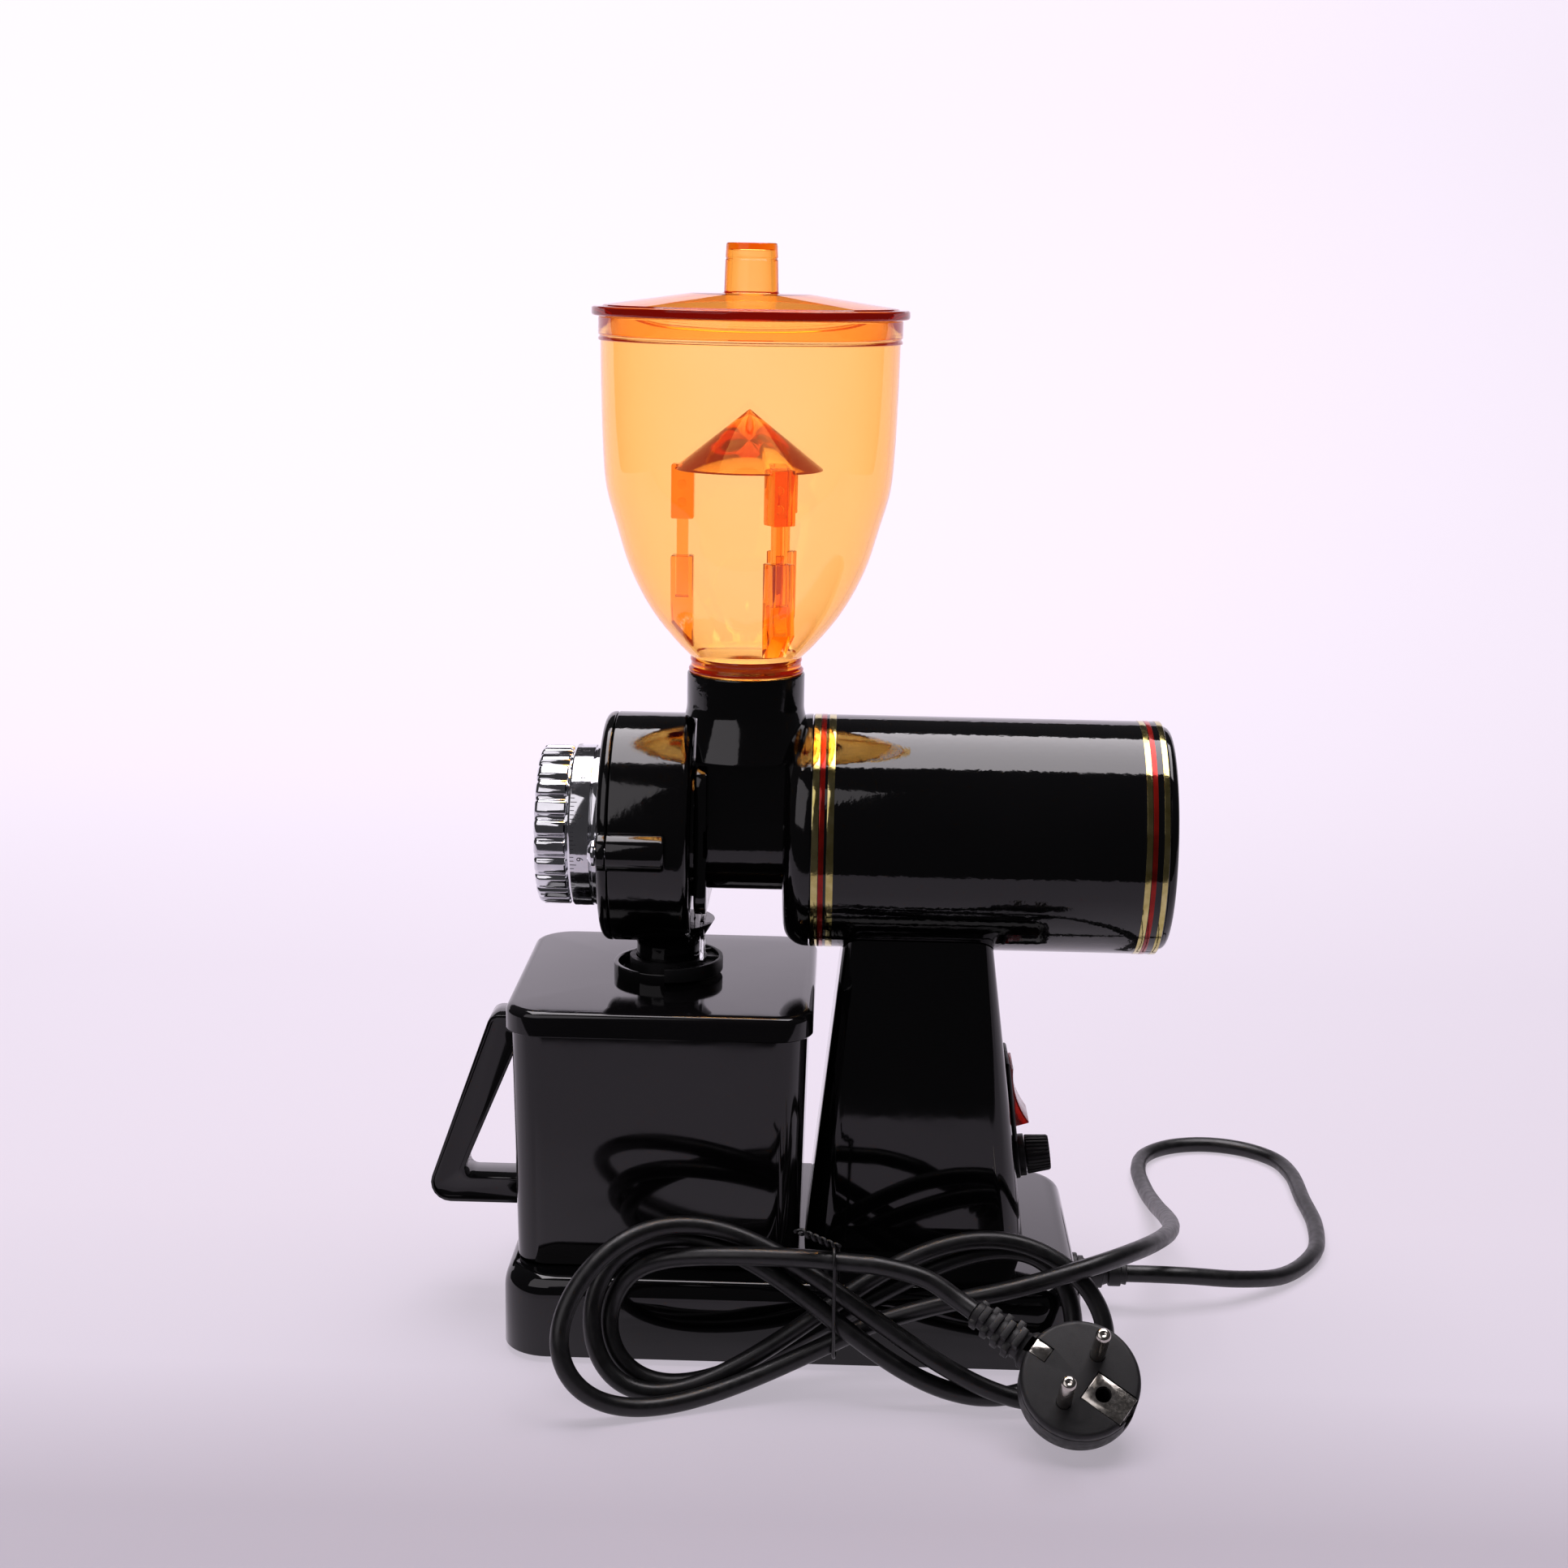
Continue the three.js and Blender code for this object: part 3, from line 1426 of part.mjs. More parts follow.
// Bean guard: a hollow cone over the throat on three legs
function beanGuard() {
  const slant = coneWall * Math.hypot(1, coneHeight / coneRadius);
  const cone = revolve(
    [
      [0, coneFoot + coneHeight - slant],
      [coneRadius - (slant * coneRadius) / coneHeight, coneFoot],
      [coneRadius, coneFoot],
      [0, coneFoot + coneHeight],
    ],
    midRound,
  );
  const coneAtLeg = coneFoot + (coneHeight * (coneRadius - socketReach)) / coneRadius - slant / 2;
  const legs = guardAngles.flatMap((angle) => {
    const halfThickness = legThickness / 2;
    const upper = block(
      [socketReach - halfThickness, -legWidth / 2, legFoot],
      [socketReach + halfThickness, legWidth / 2, coneAtLeg],
    );
    const tongue = block(
      [socketReach - halfThickness, -tongueWidth / 2, socketTop - socketHole + seatGap],
      [socketReach + halfThickness, tongueWidth / 2, legFoot + overrun],
    );
    return [upper.rotateZ(angle), tongue.rotateZ(angle)];
  });
  return joined(cone, ...legs);
}
addPiece(hopper, "bean_guard", beanGuard(), amber());

// Hopper lid: a shallow cone with a hollow knob and a skirt inside the bowl's rim
function hopperLid() {
  const lipFoot = bowlTop + seatGap;
  const lipTop = lipFoot + lipThickness;
  const flatTop = lipTop + lidRise;
  const knobTop = flatTop + knobHeight;
  const skirtOuter = rimRadius - rimWall - seatGap;
  return revolve(
    [
      [0, knobTop],
      [knobTopRadius, knobTop],
      [knobRadius, flatTop],
      [lidFlat, flatTop],
      [lidLip, lipTop],
      [lidLip, lipFoot],
      [skirtOuter, lipFoot],
      [skirtOuter, lipFoot - lidSkirt],
      [skirtOuter - skirtWall, lipFoot - lidSkirt],
      [skirtOuter - skirtWall, lipFoot + lipThickness - lidShell],
      [lidFlat, flatTop - lidShell],
      [knobRadius - knobWall, flatTop - lidShell],
      [knobTopRadius - knobWall, knobTop - knobWall],
      [0, knobTop - knobWall],
    ],
    bigRound,
  );
}
addPiece(hopper, "hopper_lid", hopperLid(), amber());

// Cord gland: a tapered, ringed strain relief on the base's rear face
const gland = addGroup(machine, baseRear + seatGap, 0, glandHeight);
function taperedRelief(length, rootRadius, tipRadius, rings) {
  const profile = [[0, 0]];
  const pitch = length / rings;
  const groove = (rootRadius - tipRadius) / 2;
  for (let i = 0; i < rings; i++) {
    const radius = rootRadius - ((rootRadius - tipRadius) * i) / (rings - 1);
    profile.push([radius, pitch * i]);
    profile.push([radius, pitch * (i + 0.6)]);
    if (i < rings - 1) {
      profile.push([radius - groove, pitch * (i + 0.6)]);
      profile.push([radius - groove, pitch * (i + 1)]);
    }
  }
  profile.push([tipRadius, length], [0, length]);
  return revolve(profile, smallRound);
}
const glandBody = joined(
  taperedRelief(glandLength, glandRadius, glandTip, glandRings),
  rod(glandRadius + overrun, 0, glandCollar, smallRound),
);
addPiece(gland, "cord_gland", alongX(glandBody), mattBlack());

// Hank: loops of a lying figure of eight, whose keys lie at its waist and its tips in turn
const cord = addGroup(machine, 0, 0, 0);
const lean = THREE.MathUtils.degToRad(hankLean);
function eased(keys, place) {
  const before = Math.min(Math.floor(place), keys.length - 2);
  const share = (1 - Math.cos(Math.PI * (place - before))) / 2;
  return keys[before] + (keys[before + 1] - keys[before]) * share;
}
function hankPoint(turn) {
  const place = (2 * turn) / Math.PI;
  const rise = eased(hankHeights, place) - eased(hankRises, place) * Math.sin(2 * turn);
  const layer = eased(hankLayers, place);
  return new THREE.Vector3(
    hankCentre - eased(hankReaches, place) * Math.sin(turn),
    hankFront + rise * Math.sin(lean) - layer * Math.cos(lean),
    rise * Math.cos(lean) + layer * Math.sin(lean),
  );
}
const hankPoints = [];
for (let step = 0; step <= hankLobes * lobeSteps; step++) {
  hankPoints.push(hankPoint((Math.PI * step) / lobeSteps));
}
// A point on the straight run past an end of the hank
function pastEnd(end, neighbour, distance) {
  const direction = end.clone().sub(neighbour).normalize();
  return end.clone().addScaledVector(direction, distance);
}
const hankStart = (distance) => pastEnd(hankPoints[0], hankPoints[1], distance);
const hankFinish = (distance) => pastEnd(hankPoints.at(-1), hankPoints.at(-2), distance);

function leastGap(points) {
  const places = points.flatMap((point, i) => (i ? [point.clone().lerp(points[i - 1], 1 / 2), point] : [point]));
  const travelled = [0];
  places.slice(1).forEach((place, i) => travelled.push(travelled[i] + place.distanceTo(places[i])));
  const apart = 2 * Math.PI * cordRadius;
  let least = Infinity;
  places.forEach((place, i) => {
    places.slice(0, i).forEach((other, k) => {
      if (travelled[i] - travelled[k] > apart) least = Math.min(least, place.distanceTo(other));
    });
  });
  return least - 2 * cordRadius;
}

// A round tube with a ring of corners square to the route at each point
function tubeThrough(points, radius, sides) {
  const runs = points.slice(1).map((point, i) => point.clone().sub(points[i]).normalize());
  let side = new THREE.Vector3(0, 0, 1).cross(runs[0]).normalize();
  const rings = points.map((point, i) => {
    const before = runs[Math.max(i - 1, 0)];
    const after = runs[Math.min(i, runs.length - 1)];
    const along = before.clone().add(after).normalize();
    side = side.clone().addScaledVector(along, -side.dot(along)).normalize();
    const up = along.clone().cross(side);
    const corners = [];
    for (let corner = 0; corner < sides; corner++) {
      const angle = (2 * Math.PI * corner) / sides;
      const place = point.clone().addScaledVector(side, radius * Math.cos(angle));
      corners.push(place.addScaledVector(up, radius * Math.sin(angle)).toArray());
    }
    return corners;
  });
  const positions = [];
  rings.slice(1).forEach((ring, i) => {
    const last = rings[i];
    last.forEach((corner, k) => {
      const next = (k + 1) % sides;
      positions.push(...corner, ...last[next], ...ring[next], ...corner, ...ring[next], ...ring[k]);
    });
  });
  for (let corner = 1; corner < sides - 1; corner++) {
    const [first, last] = [rings[0], rings.at(-1)];
    positions.push(...first[0], ...first[corner + 1], ...first[corner]);
    positions.push(...last[0], ...last[corner], ...last[corner + 1]);
  }
  const geometry = new THREE.BufferGeometry();
  geometry.setAttribute("position", new THREE.Float32BufferAttribute(positions, 3));
  return geometry;
}
const hankRoute = [hankStart(joinRun), ...hankPoints, hankFinish(joinRun)];
console.log("least gap of the hank to itself:", leastGap(hankRoute).toFixed(2), "mm");
addPiece(cord, "cord_hank", tubeThrough(hankRoute, cordRadius, loopSides), vinyl());

// Wire tie: one turn round the strands at the waist, with its two ends standing up together
function wireTie() {
  const strands = [];
  for (let lobe = 0; lobe <= hankLobes; lobe++) strands.push(hankPoint(Math.PI * lobe));
  const offset = cordRadius + wireRadius + wireClearance;
  const points = [];
  for (let step = 0; step <= tieSteps; step++) {
    const angle = Math.PI / 2 + (2 * Math.PI * step) / tieSteps;
    const outward = new THREE.Vector3(0, Math.cos(angle), Math.sin(angle));
    const outermost = strands.reduce((a, b) => (b.dot(outward) > a.dot(outward) ? b : a));
    const across = new THREE.Vector3(wirePitch * (step / tieSteps - 1 / 2), 0, 0);
    points.push(outermost.clone().addScaledVector(outward, offset).add(across));
  }
  const [first, last] = [points[0], points.at(-1)];
  const rising = new THREE.Vector3(-wireEnd, 0, wireEnd);
  const ends = [first.clone().add(rising), last.clone().add(rising)];
  return [ends[0], ...points, ends[1]];
}
addPiece(cord, "wire_tie", tubeThrough(wireTie(), wireRadius, wireSides), vinyl());

// Plug: a round body standing on its rim with its pins towards the viewer
const tilt = THREE.MathUtils.degToRad(plugTilt);
const spin = THREE.MathUtils.degToRad(plugSpin);
const facing = new THREE.Vector3(0, -Math.cos(tilt), Math.sin(tilt));
const upward = new THREE.Vector3(0, Math.sin(tilt), Math.cos(tilt));
const outlet = new THREE.Vector3(-Math.cos(spin), 0, 0).addScaledVector(upward, Math.sin(spin));
const plugHeight = plugThickness * Math.sin(tilt) + plugRadius * Math.cos(tilt);
const plug = addGroup(cord, plugPlace[0], plugPlace[1], plugHeight);
plug.quaternion.setFromRotationMatrix(
  new THREE.Matrix4().makeBasis(outlet, facing.clone().cross(outlet), facing),
);
const reliefRoot = Math.sqrt(plugRadius ** 2 - reliefRadius ** 2) - overrun;
const clipOuter = plugRadius - clipInset / 2;
const clipInner = clipOuter - clipThickness;

// Room for an earth clip on one side of the body, open at the face and the rim
function clipRoom(innerReach, halfWidth, depth) {
  const face = block([innerReach, -halfWidth, -depth], [plugRadius + overrun, halfWidth, overrun]);
  const slot = block(
    [clipInner - seatGap, -clipWidth / 2 - seatGap, -clipLength - seatGap],
    [plugRadius + overrun, clipWidth / 2 + seatGap, overrun],
  );
  return joined(face, slot);
}
const clipDepth = clipThickness + 2 * seatGap;
const upperReach = clipInner - clipReturn;
function plugBody() {
  const disc = revolve(
    [
      [0, -plugThickness],
      ...edgeArc(plugRadius - plugRound, plugRound - plugThickness, plugRound, -Math.PI / 2, 0),
      ...edgeArc(plugRadius - plugRound, -plugRound, plugRound, 0, Math.PI / 2),
      [0, 0],
    ],
    midRound,
  );
  const relief = taperedRelief(plugRadius + reliefLength - reliefRoot, reliefRadius, reliefTip, reliefRings);
  const stem = alongX(relief).translate(reliefRoot, 0, -plugThickness / 2);
  const pinHoles = [-1, 1].map((side) =>
    rod(pinRadius + seatGap, -pinRoot, overrun).translate(0, side * pinSpread, 0),
  );
  const earth = rod(earthHole, -earthDepth, overrun).translate(-earthReach, 0, 0);
  const upperRoom = clipRoom(upperReach - seatGap, clipWidth / 2 + seatGap, clipDepth);
  const lowerRoom = clipRoom(earthPlateEnd - seatGap, earthPlateHalf + seatGap, clipDepth).rotateZ(Math.PI);
  return cut(joined(disc, stem), ...pinHoles, earth, upperRoom, lowerRoom);
}
addPiece(plug, "plug_body", plugBody(), vinyl());

[["plug_pin_upper", 1], ["plug_pin_lower", -1]].forEach(([name, side]) => {
  const root = seatGap - pinRoot;
  const pin = revolve(
    [
      [0, root],
      [pinRadius, root],
      ...edgeArc(pinRadius / 2, pinLength - pinRadius / 2, pinRadius / 2, 0, Math.PI / 2),
      [0, pinLength],
    ],
    smallRound,
  );
  addPiece(plug, name, pin.translate(0, side * pinSpread, 0), chrome());
});

// An earth clip: a plate in the face with a leg down the rim
function earthClip(innerReach, halfWidth) {
  const plateFoot = seatGap - clipDepth;
  const plate = block([innerReach, -halfWidth, plateFoot], [clipOuter, halfWidth, plateFoot + clipThickness]);
  const leg = block([clipInner, -clipWidth / 2, -clipLength], [clipOuter, clipWidth / 2, plateFoot + clipThickness]);
  return joined(plate, leg);
}
addPiece(plug, "earth_clip_upper", earthClip(upperReach, clipWidth / 2), chrome());
const earthPlate = earthClip(earthPlateEnd, earthPlateHalf).rotateZ(Math.PI);
const earthPlateHole = rod(earthHole, -clipDepth, overrun, smallRound).translate(-earthReach, 0, 0);
addPiece(plug, "earth_clip_lower", cut(earthPlate, earthPlateHole), chrome());

// Lead across the floor from the gland to the hank, and tail from the hank to the plug
const glandEnd = gland.position.clone().add(new THREE.Vector3(glandLength + seatGap, 0, 0));
const leadRoute = [
  glandEnd.toArray(),
  [glandEnd.x + leadStraight, 0, glandHeight],
  ...leadPoints,
  hankStart(2 * joinRun + seatGap).toArray(),
  hankStart(joinRun + seatGap).toArray(),
];
addPiece(cord, "cord_lead", cable(leadRoute, cordRadius, leadSteps, cordSides), vinyl());
const plugEnd = plug.position.clone().addScaledVector(facing, -plugThickness / 2);
const tailRoute = [
  hankFinish(joinRun + seatGap).toArray(),
  hankFinish(2 * joinRun + seatGap).toArray(),
  ...tailPoints,
  plugEnd.clone().addScaledVector(outlet, plugRadius + reliefLength + seatGap + joinRun).toArray(),
  plugEnd.clone().addScaledVector(outlet, plugRadius + reliefLength + seatGap).toArray(),
];
addPiece(cord, "cord_tail", cable(tailRoute, cordRadius, tailSteps, cordSides), vinyl());

grinder.updateMatrixWorld(true);
export default grinder;
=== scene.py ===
import math

import bmesh
import bpy
from mathutils import Matrix, Vector


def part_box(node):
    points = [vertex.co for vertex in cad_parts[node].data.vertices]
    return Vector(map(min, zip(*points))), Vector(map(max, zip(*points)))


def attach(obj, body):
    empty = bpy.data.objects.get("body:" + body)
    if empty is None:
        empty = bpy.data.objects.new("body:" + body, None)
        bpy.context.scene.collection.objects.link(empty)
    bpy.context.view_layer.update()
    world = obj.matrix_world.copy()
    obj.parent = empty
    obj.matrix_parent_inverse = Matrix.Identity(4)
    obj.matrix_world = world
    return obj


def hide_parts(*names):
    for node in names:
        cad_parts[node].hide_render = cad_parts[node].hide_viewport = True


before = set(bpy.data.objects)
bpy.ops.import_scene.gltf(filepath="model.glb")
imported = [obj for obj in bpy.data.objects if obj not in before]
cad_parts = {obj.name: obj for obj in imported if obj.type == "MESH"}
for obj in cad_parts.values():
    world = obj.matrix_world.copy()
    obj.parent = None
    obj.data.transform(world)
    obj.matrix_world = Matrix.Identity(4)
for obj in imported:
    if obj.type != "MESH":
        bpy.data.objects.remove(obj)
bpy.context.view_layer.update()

# Lengths below are in millimetres from the hopper's axis, with z up from the floor.
mm = 0.001
glandRoot = 118.8  # where the cord leaves the base, behind the hopper's axis
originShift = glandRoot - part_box("cord_gland")[0].x / mm  # how far the origin lies behind that axis
axisHeight = 172.7  # height of the drive's axis


def at(x, y, z):
    return Vector(((x - originShift) * mm, y * mm, z * mm))


def colour(code):
    channels = [int(code[i : i + 2], 16) / 255 for i in (1, 3, 5)]
    return tuple(c / 12.92 if c <= 0.04045 else ((c + 0.055) / 1.055) ** 2.4 for c in channels) + (1,)


# ---- camera, as it stood for the photograph ----
cameraValues = {
    "place": (35, -818, 364),
    "lens": 55.9,
    "down": 12.1,
    "left": 1.5,
    "roll": 1.0,
}
down = math.radians(cameraValues["down"])
left = math.radians(cameraValues["left"])
forward = Vector((-math.sin(left) * math.cos(down), math.cos(left) * math.cos(down), -math.sin(down)))
bpy.ops.object.camera_add(location=at(*cameraValues["place"]))
camera = bpy.context.object
camera.name = "photoCamera"
camera.data.lens = cameraValues["lens"]
camera.data.sensor_width = 36
camera.data.clip_start = 0.01
camera.rotation_mode = "QUATERNION"
camera.rotation_quaternion = forward.to_track_quat("-Z", "Y") @ Matrix.Rotation(
    math.radians(cameraValues["roll"]), 4, "Z"
).to_quaternion()
bpy.context.scene.camera = camera
print("camera done")


# ---- modelling helpers ----
def only(piece):
    bpy.ops.object.select_all(action="DESELECT")
    piece.select_set(True)
    bpy.context.view_layer.objects.active = piece


def edit(piece):
    only(piece)
    bpy.ops.object.mode_set(mode="EDIT")
    bpy.ops.mesh.select_mode(type="VERT")
    bpy.ops.mesh.select_all(action="SELECT")


def leave():
    bpy.ops.object.mode_set(mode="OBJECT")


def settle(piece):
    only(piece)
    bpy.ops.object.transform_apply(location=True, rotation=True, scale=True)
    return piece


def place(piece, spot, turn=Matrix.Identity(3)):
    piece.matrix_world = Matrix.Translation(spot) @ turn.to_4x4()
    return settle(piece)


def choose(piece, kind, test):
    # picks corners, edges or faces by their place in mm and their direction
    bpy.ops.mesh.select_mode(type={"verts": "VERT", "edges": "EDGE", "faces": "FACE"}[kind])
    bpy.ops.mesh.select_all(action="DESELECT")
    shape = bmesh.from_edit_mesh(piece.data)
    shape.normal_update()
    for item in getattr(shape, kind):
        if kind == "verts":
            spot, way = item.co, item.normal
        elif kind == "edges":
            one, other = item.verts[0].co, item.verts[1].co
            spot, way = (one + other) / 2, (other - one).normalized()
        else:
            spot, way = item.calc_center_median(), item.normal
        if test(spot / mm, way):
            item.select_set(True)
    shape.select_flush_mode()
    bmesh.update_edit_mesh(piece.data)


def cleaned(piece):
    # welds what touches and turns every face outwards
    edit(piece)
    bpy.ops.mesh.remove_doubles(threshold=1e-6)
    bpy.ops.mesh.normals_make_consistent(inside=False)
    leave()
    return piece


def traced(name, points):
    # a line of edges through points in mm, grown one corner at a time
    bpy.ops.mesh.primitive_plane_add(size=mm, location=(0, 0, 0))
    piece = bpy.context.object
    piece.name = name
    edit(piece)
    bpy.ops.mesh.merge(type="CENTER")
    bpy.ops.transform.translate(value=Vector(points[0]) * mm)
    for before, after in zip(points, points[1:]):
        step = (Vector(after) - Vector(before)) * mm
        bpy.ops.mesh.extrude_region_move(TRANSFORM_OT_translate={"value": step})
    return piece


def turned(name, profile, steps=128):
    # a profile of (radius, height) spun round the z axis
    piece = traced(name, [(radius, 0, height) for radius, height in profile])
    bpy.ops.mesh.select_all(action="SELECT")
    bpy.ops.mesh.spin(steps=steps, angle=2 * math.pi, center=(0, 0, 0), axis=(0, 0, 1))
    leave()
    return cleaned(piece)


def filleted(corners, arcSteps=5):
    # (radius, height, fillet) corners, with an arc where a fillet is given
    points = []
    for i, corner in enumerate(corners):
        here = Vector(corner[:2])
        fillet = corner[2] if len(corner) > 2 else 0
        if not fillet or i in (0, len(corners) - 1):
            points.append(tuple(here))
            continue
        back = (Vector(corners[i - 1][:2]) - here).normalized()
        onward = (Vector(corners[i + 1][:2]) - here).normalized()
        half = back.angle(onward) / 2
        run = fillet / math.tan(half)
        middle = here + (back + onward).normalized() * (fillet / math.sin(half))
        first, last = here + back * run - middle, here + onward * run - middle
        whole = math.pi - 2 * half
        for step in range(arcSteps + 1):
            share = step / arcSteps
            arm = (first * math.sin((1 - share) * whole) + last * math.sin(share * whole)) / math.sin(whole)
            points.append(tuple(middle + arm))
    return points


def prism(name, outline, levels):
    # a closed outline in x and y, raised through (height, scale) levels
    start = levels[0][0]
    points = [(x * levels[0][1], y * levels[0][1], start) for x, y in outline]
    piece = traced(name, points + [points[0]])
    bpy.ops.mesh.select_all(action="SELECT")
    bpy.ops.mesh.remove_doubles(threshold=1e-6)
    bpy.ops.mesh.select_all(action="SELECT")
    bpy.ops.mesh.edge_face_add()
    for (low, before), (high, after) in zip(levels, levels[1:]):
        bpy.ops.mesh.extrude_region_move(TRANSFORM_OT_translate={"value": (0, 0, (high - low) * mm)})
        if after != before:
            bpy.ops.transform.resize(
                value=(after / before, after / before, 1), center_override=(0, 0, high * mm)
            )
    leave()
    return cleaned(piece)


def lofted(name, levels, corner, cornerSteps=10):
    # a rounded rectangle raised through (z, front, rear, half width) levels
    z, front, rear, half = levels[0]
    bpy.ops.mesh.primitive_plane_add(size=1, location=at((front + rear) / 2, 0, z))
    piece = bpy.context.object
    piece.name = name
    piece.scale = ((rear - front) * mm, 2 * half * mm, 1)
    settle(piece)
    edit(piece)
    bpy.ops.mesh.bevel(affect="VERTICES", offset=corner * mm, segments=cornerSteps)
    bpy.ops.mesh.select_all(action="SELECT")
    for before, after in zip(levels, levels[1:]):
        move = at((after[1] + after[2]) / 2, 0, after[0]) - at((before[1] + before[2]) / 2, 0, before[0])
        bpy.ops.mesh.extrude_region_move(TRANSFORM_OT_translate={"value": move})
        wide = (after[2] - after[1]) / (before[2] - before[1])
        deep = after[3] / before[3]
        bpy.ops.transform.resize(
            value=(wide, deep, 1), center_override=at((after[1] + after[2]) / 2, 0, after[0])
        )
    leave()
    return cleaned(piece)


def block(name, low, high, bevel=0, bevelSteps=3):
    # a box between two corners in mm, with its edges rounded
    centre = [(a + b) / 2 * mm for a, b in zip(low, high)]
    bpy.ops.mesh.primitive_cube_add(size=1, location=centre)
    piece = bpy.context.object
    piece.name = name
    piece.scale = [(b - a) * mm for a, b in zip(low, high)]
    settle(piece)
    if bevel:
        edit(piece)
        bpy.ops.mesh.bevel(offset=bevel * mm, segments=bevelSteps, affect="EDGES")
        leave()
    return piece


def combine(piece, others, how):
    for other in others:
        modifier = piece.modifiers.new("combine", "BOOLEAN")
        modifier.operation = how
        modifier.solver = "EXACT"
        modifier.object = other
        only(piece)
        bpy.ops.object.modifier_apply(modifier=modifier.name)
        bpy.data.objects.remove(other, do_unlink=True)
    return piece


def carve(piece, *cutters):
    return combine(piece, cutters, "DIFFERENCE")


def unite(piece, *others):
    return combine(piece, others, "UNION")


def joinAll(piece, *others):
    only(piece)
    for other in others:
        other.select_set(True)
    bpy.ops.object.join()
    return piece


alongX = Matrix.Rotation(math.pi / 2, 3, "Y")  # turns what points up towards the motor's rear
axisSpot = Vector((-originShift * mm, 0, axisHeight * mm))


def onAxis(piece):
    # a turned piece's heights become distances behind the hopper's axis
    return place(piece, axisSpot, alongX)


def rod(name, radius, low, high, spot=(0, 0), steps=64):
    # a straight round bar along z, used to cut and to join
    piece = turned(name, [(0, low), (radius, low), (radius, high), (0, high)], steps)
    return place(piece, Vector((spot[0] * mm, spot[1] * mm, 0)))


def finishPiece(piece, material, body, slotName, *replaced, angle=35):
    settle(piece)
    bpy.ops.object.shade_smooth_by_angle(angle=math.radians(angle))
    piece.data.materials.clear()
    piece.data.materials.append(material)
    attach(piece, body)
    if replaced:
        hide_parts(*replaced)
    return piece


# ---- materials ----
def addNode(material, kind, settings=None, values=None, links=None):
    node = material.node_tree.nodes.new(kind)
    for name, value in (settings or {}).items():
        setattr(node, name, value)
    for name, value in (values or {}).items():
        node.inputs[name].default_value = value
    for name, source in (links or {}).items():
        material.node_tree.links.new(source, node.inputs[name])
    return node


def newSurface(name, values):
    material = bpy.data.materials.new(name)
    material.use_nodes = True
    material.node_tree.nodes.clear()
    shader = addNode(material, "ShaderNodeBsdfPrincipled", values=values)
    output = addNode(material, "ShaderNodeOutputMaterial", links={"Surface": shader.outputs["BSDF"]})
    return material, shader, output


def grain(material, size, detail=3, stretch=(1, 1, 1)):
    # noise whose features are about size mm across
    spot = addNode(material, "ShaderNodeTexCoord").outputs["Object"]
    scaled = addNode(material, "ShaderNodeMapping", values={"Scale": stretch}, links={"Vector": spot})
    noise = addNode(
        material,
        "ShaderNodeTexNoise",
        values={"Scale": 1 / (size * mm), "Detail": detail},
        links={"Vector": scaled.outputs["Vector"]},
    )
    return noise.outputs["Fac"]


def spread(material, pattern, low, high):
    mapped = addNode(
        material,
        "ShaderNodeMapRange",
        values={"From Min": 0.3, "From Max": 0.7, "To Min": low, "To Max": high},
        links={"Value": pattern},
    )
    return mapped.outputs["Result"]


def tinted(material, pattern, dark, light):
    ramp = addNode(material, "ShaderNodeValToRGB", links={"Fac": pattern})
    ramp.color_ramp.elements[0].position = 0.3
    ramp.color_ramp.elements[0].color = colour(dark)
    ramp.color_ramp.elements[1].position = 0.7
    ramp.color_ramp.elements[1].color = colour(light)
    return ramp.outputs["Color"]


def raised(material, shader, *layers):
    # bumps laid over each other, each a pattern and its height in mm
    normal = None
    for pattern, height in layers:
        links = {"Height": pattern}
        if normal:
            links["Normal"] = normal
        bump = addNode(material, "ShaderNodeBump", values={"Strength": 1, "Distance": height * mm}, links=links)
        normal = bump.outputs["Normal"]
    material.node_tree.links.new(normal, shader.inputs["Normal"])


def join(material, source, shader, name):
    material.node_tree.links.new(source, shader.inputs[name])


def varied(name, dark, light, rough, patch, bumps, **values):
    # one colour and roughness that drift over patches, with bumps of (size, height) in mm
    material, shader, _ = newSurface(name, values)
    drift = grain(material, patch)
    join(material, tinted(material, drift, dark, light), shader, "Base Color")
    join(material, spread(material, grain(material, patch / 3), *rough), shader, "Roughness")
    raised(material, shader, *[(grain(material, size, 2), height) for size, height in bumps])
    return material


# Stoved gloss enamel on pressed steel: near black, with a faint orange peel that frets its reflections
glossEnamel = varied(
    "stovedGlossEnamel", "#070708", "#0a0a0b", (0.03, 0.07), 40, [(2.6, 0.04), (9, 0.02)], **{"IOR": 1.5}
)
# The same enamel on the pillar and base, flatted between coats: its reflections stay calm
panelEnamel = varied(
    "flattedGlossEnamel", "#070708", "#0a0a0b", (0.03, 0.07), 40, [(9, 0.012)], **{"IOR": 1.5}
)
# Enamel over a die casting: the same black, but the metal under it rolls in longer waves
castEnamel = varied(
    "enamelledCasting", "#060607", "#0b0a0b", (0.05, 0.11), 30, [(2.2, 0.03), (7, 0.05)], **{"IOR": 1.52}
)
# Polished moulded ABS: a mirror-like skin with slow sink waves and light handling haze
polishedAbs = varied(
    "polishedMouldedAbs", "#0b0a0b", "#111012", (0.04, 0.1), 50, [(30, 0.05)], **{"IOR": 1.5}
)
# Spark-eroded moulded ABS: matt, with a fine pitted grain that scatters highlights
erodedAbs = varied(
    "erodedMouldedAbs", "#121213", "#1b1a1c", (0.38, 0.55), 12, [(0.5, 0.02)], **{"IOR": 1.5}
)
# Moulded nitrile rubber: dull and slightly grey where it is scuffed
footRubber = varied("mouldedNitrileRubber", "#141414", "#242322", (0.7, 0.9), 4, [(0.6, 0.03)])
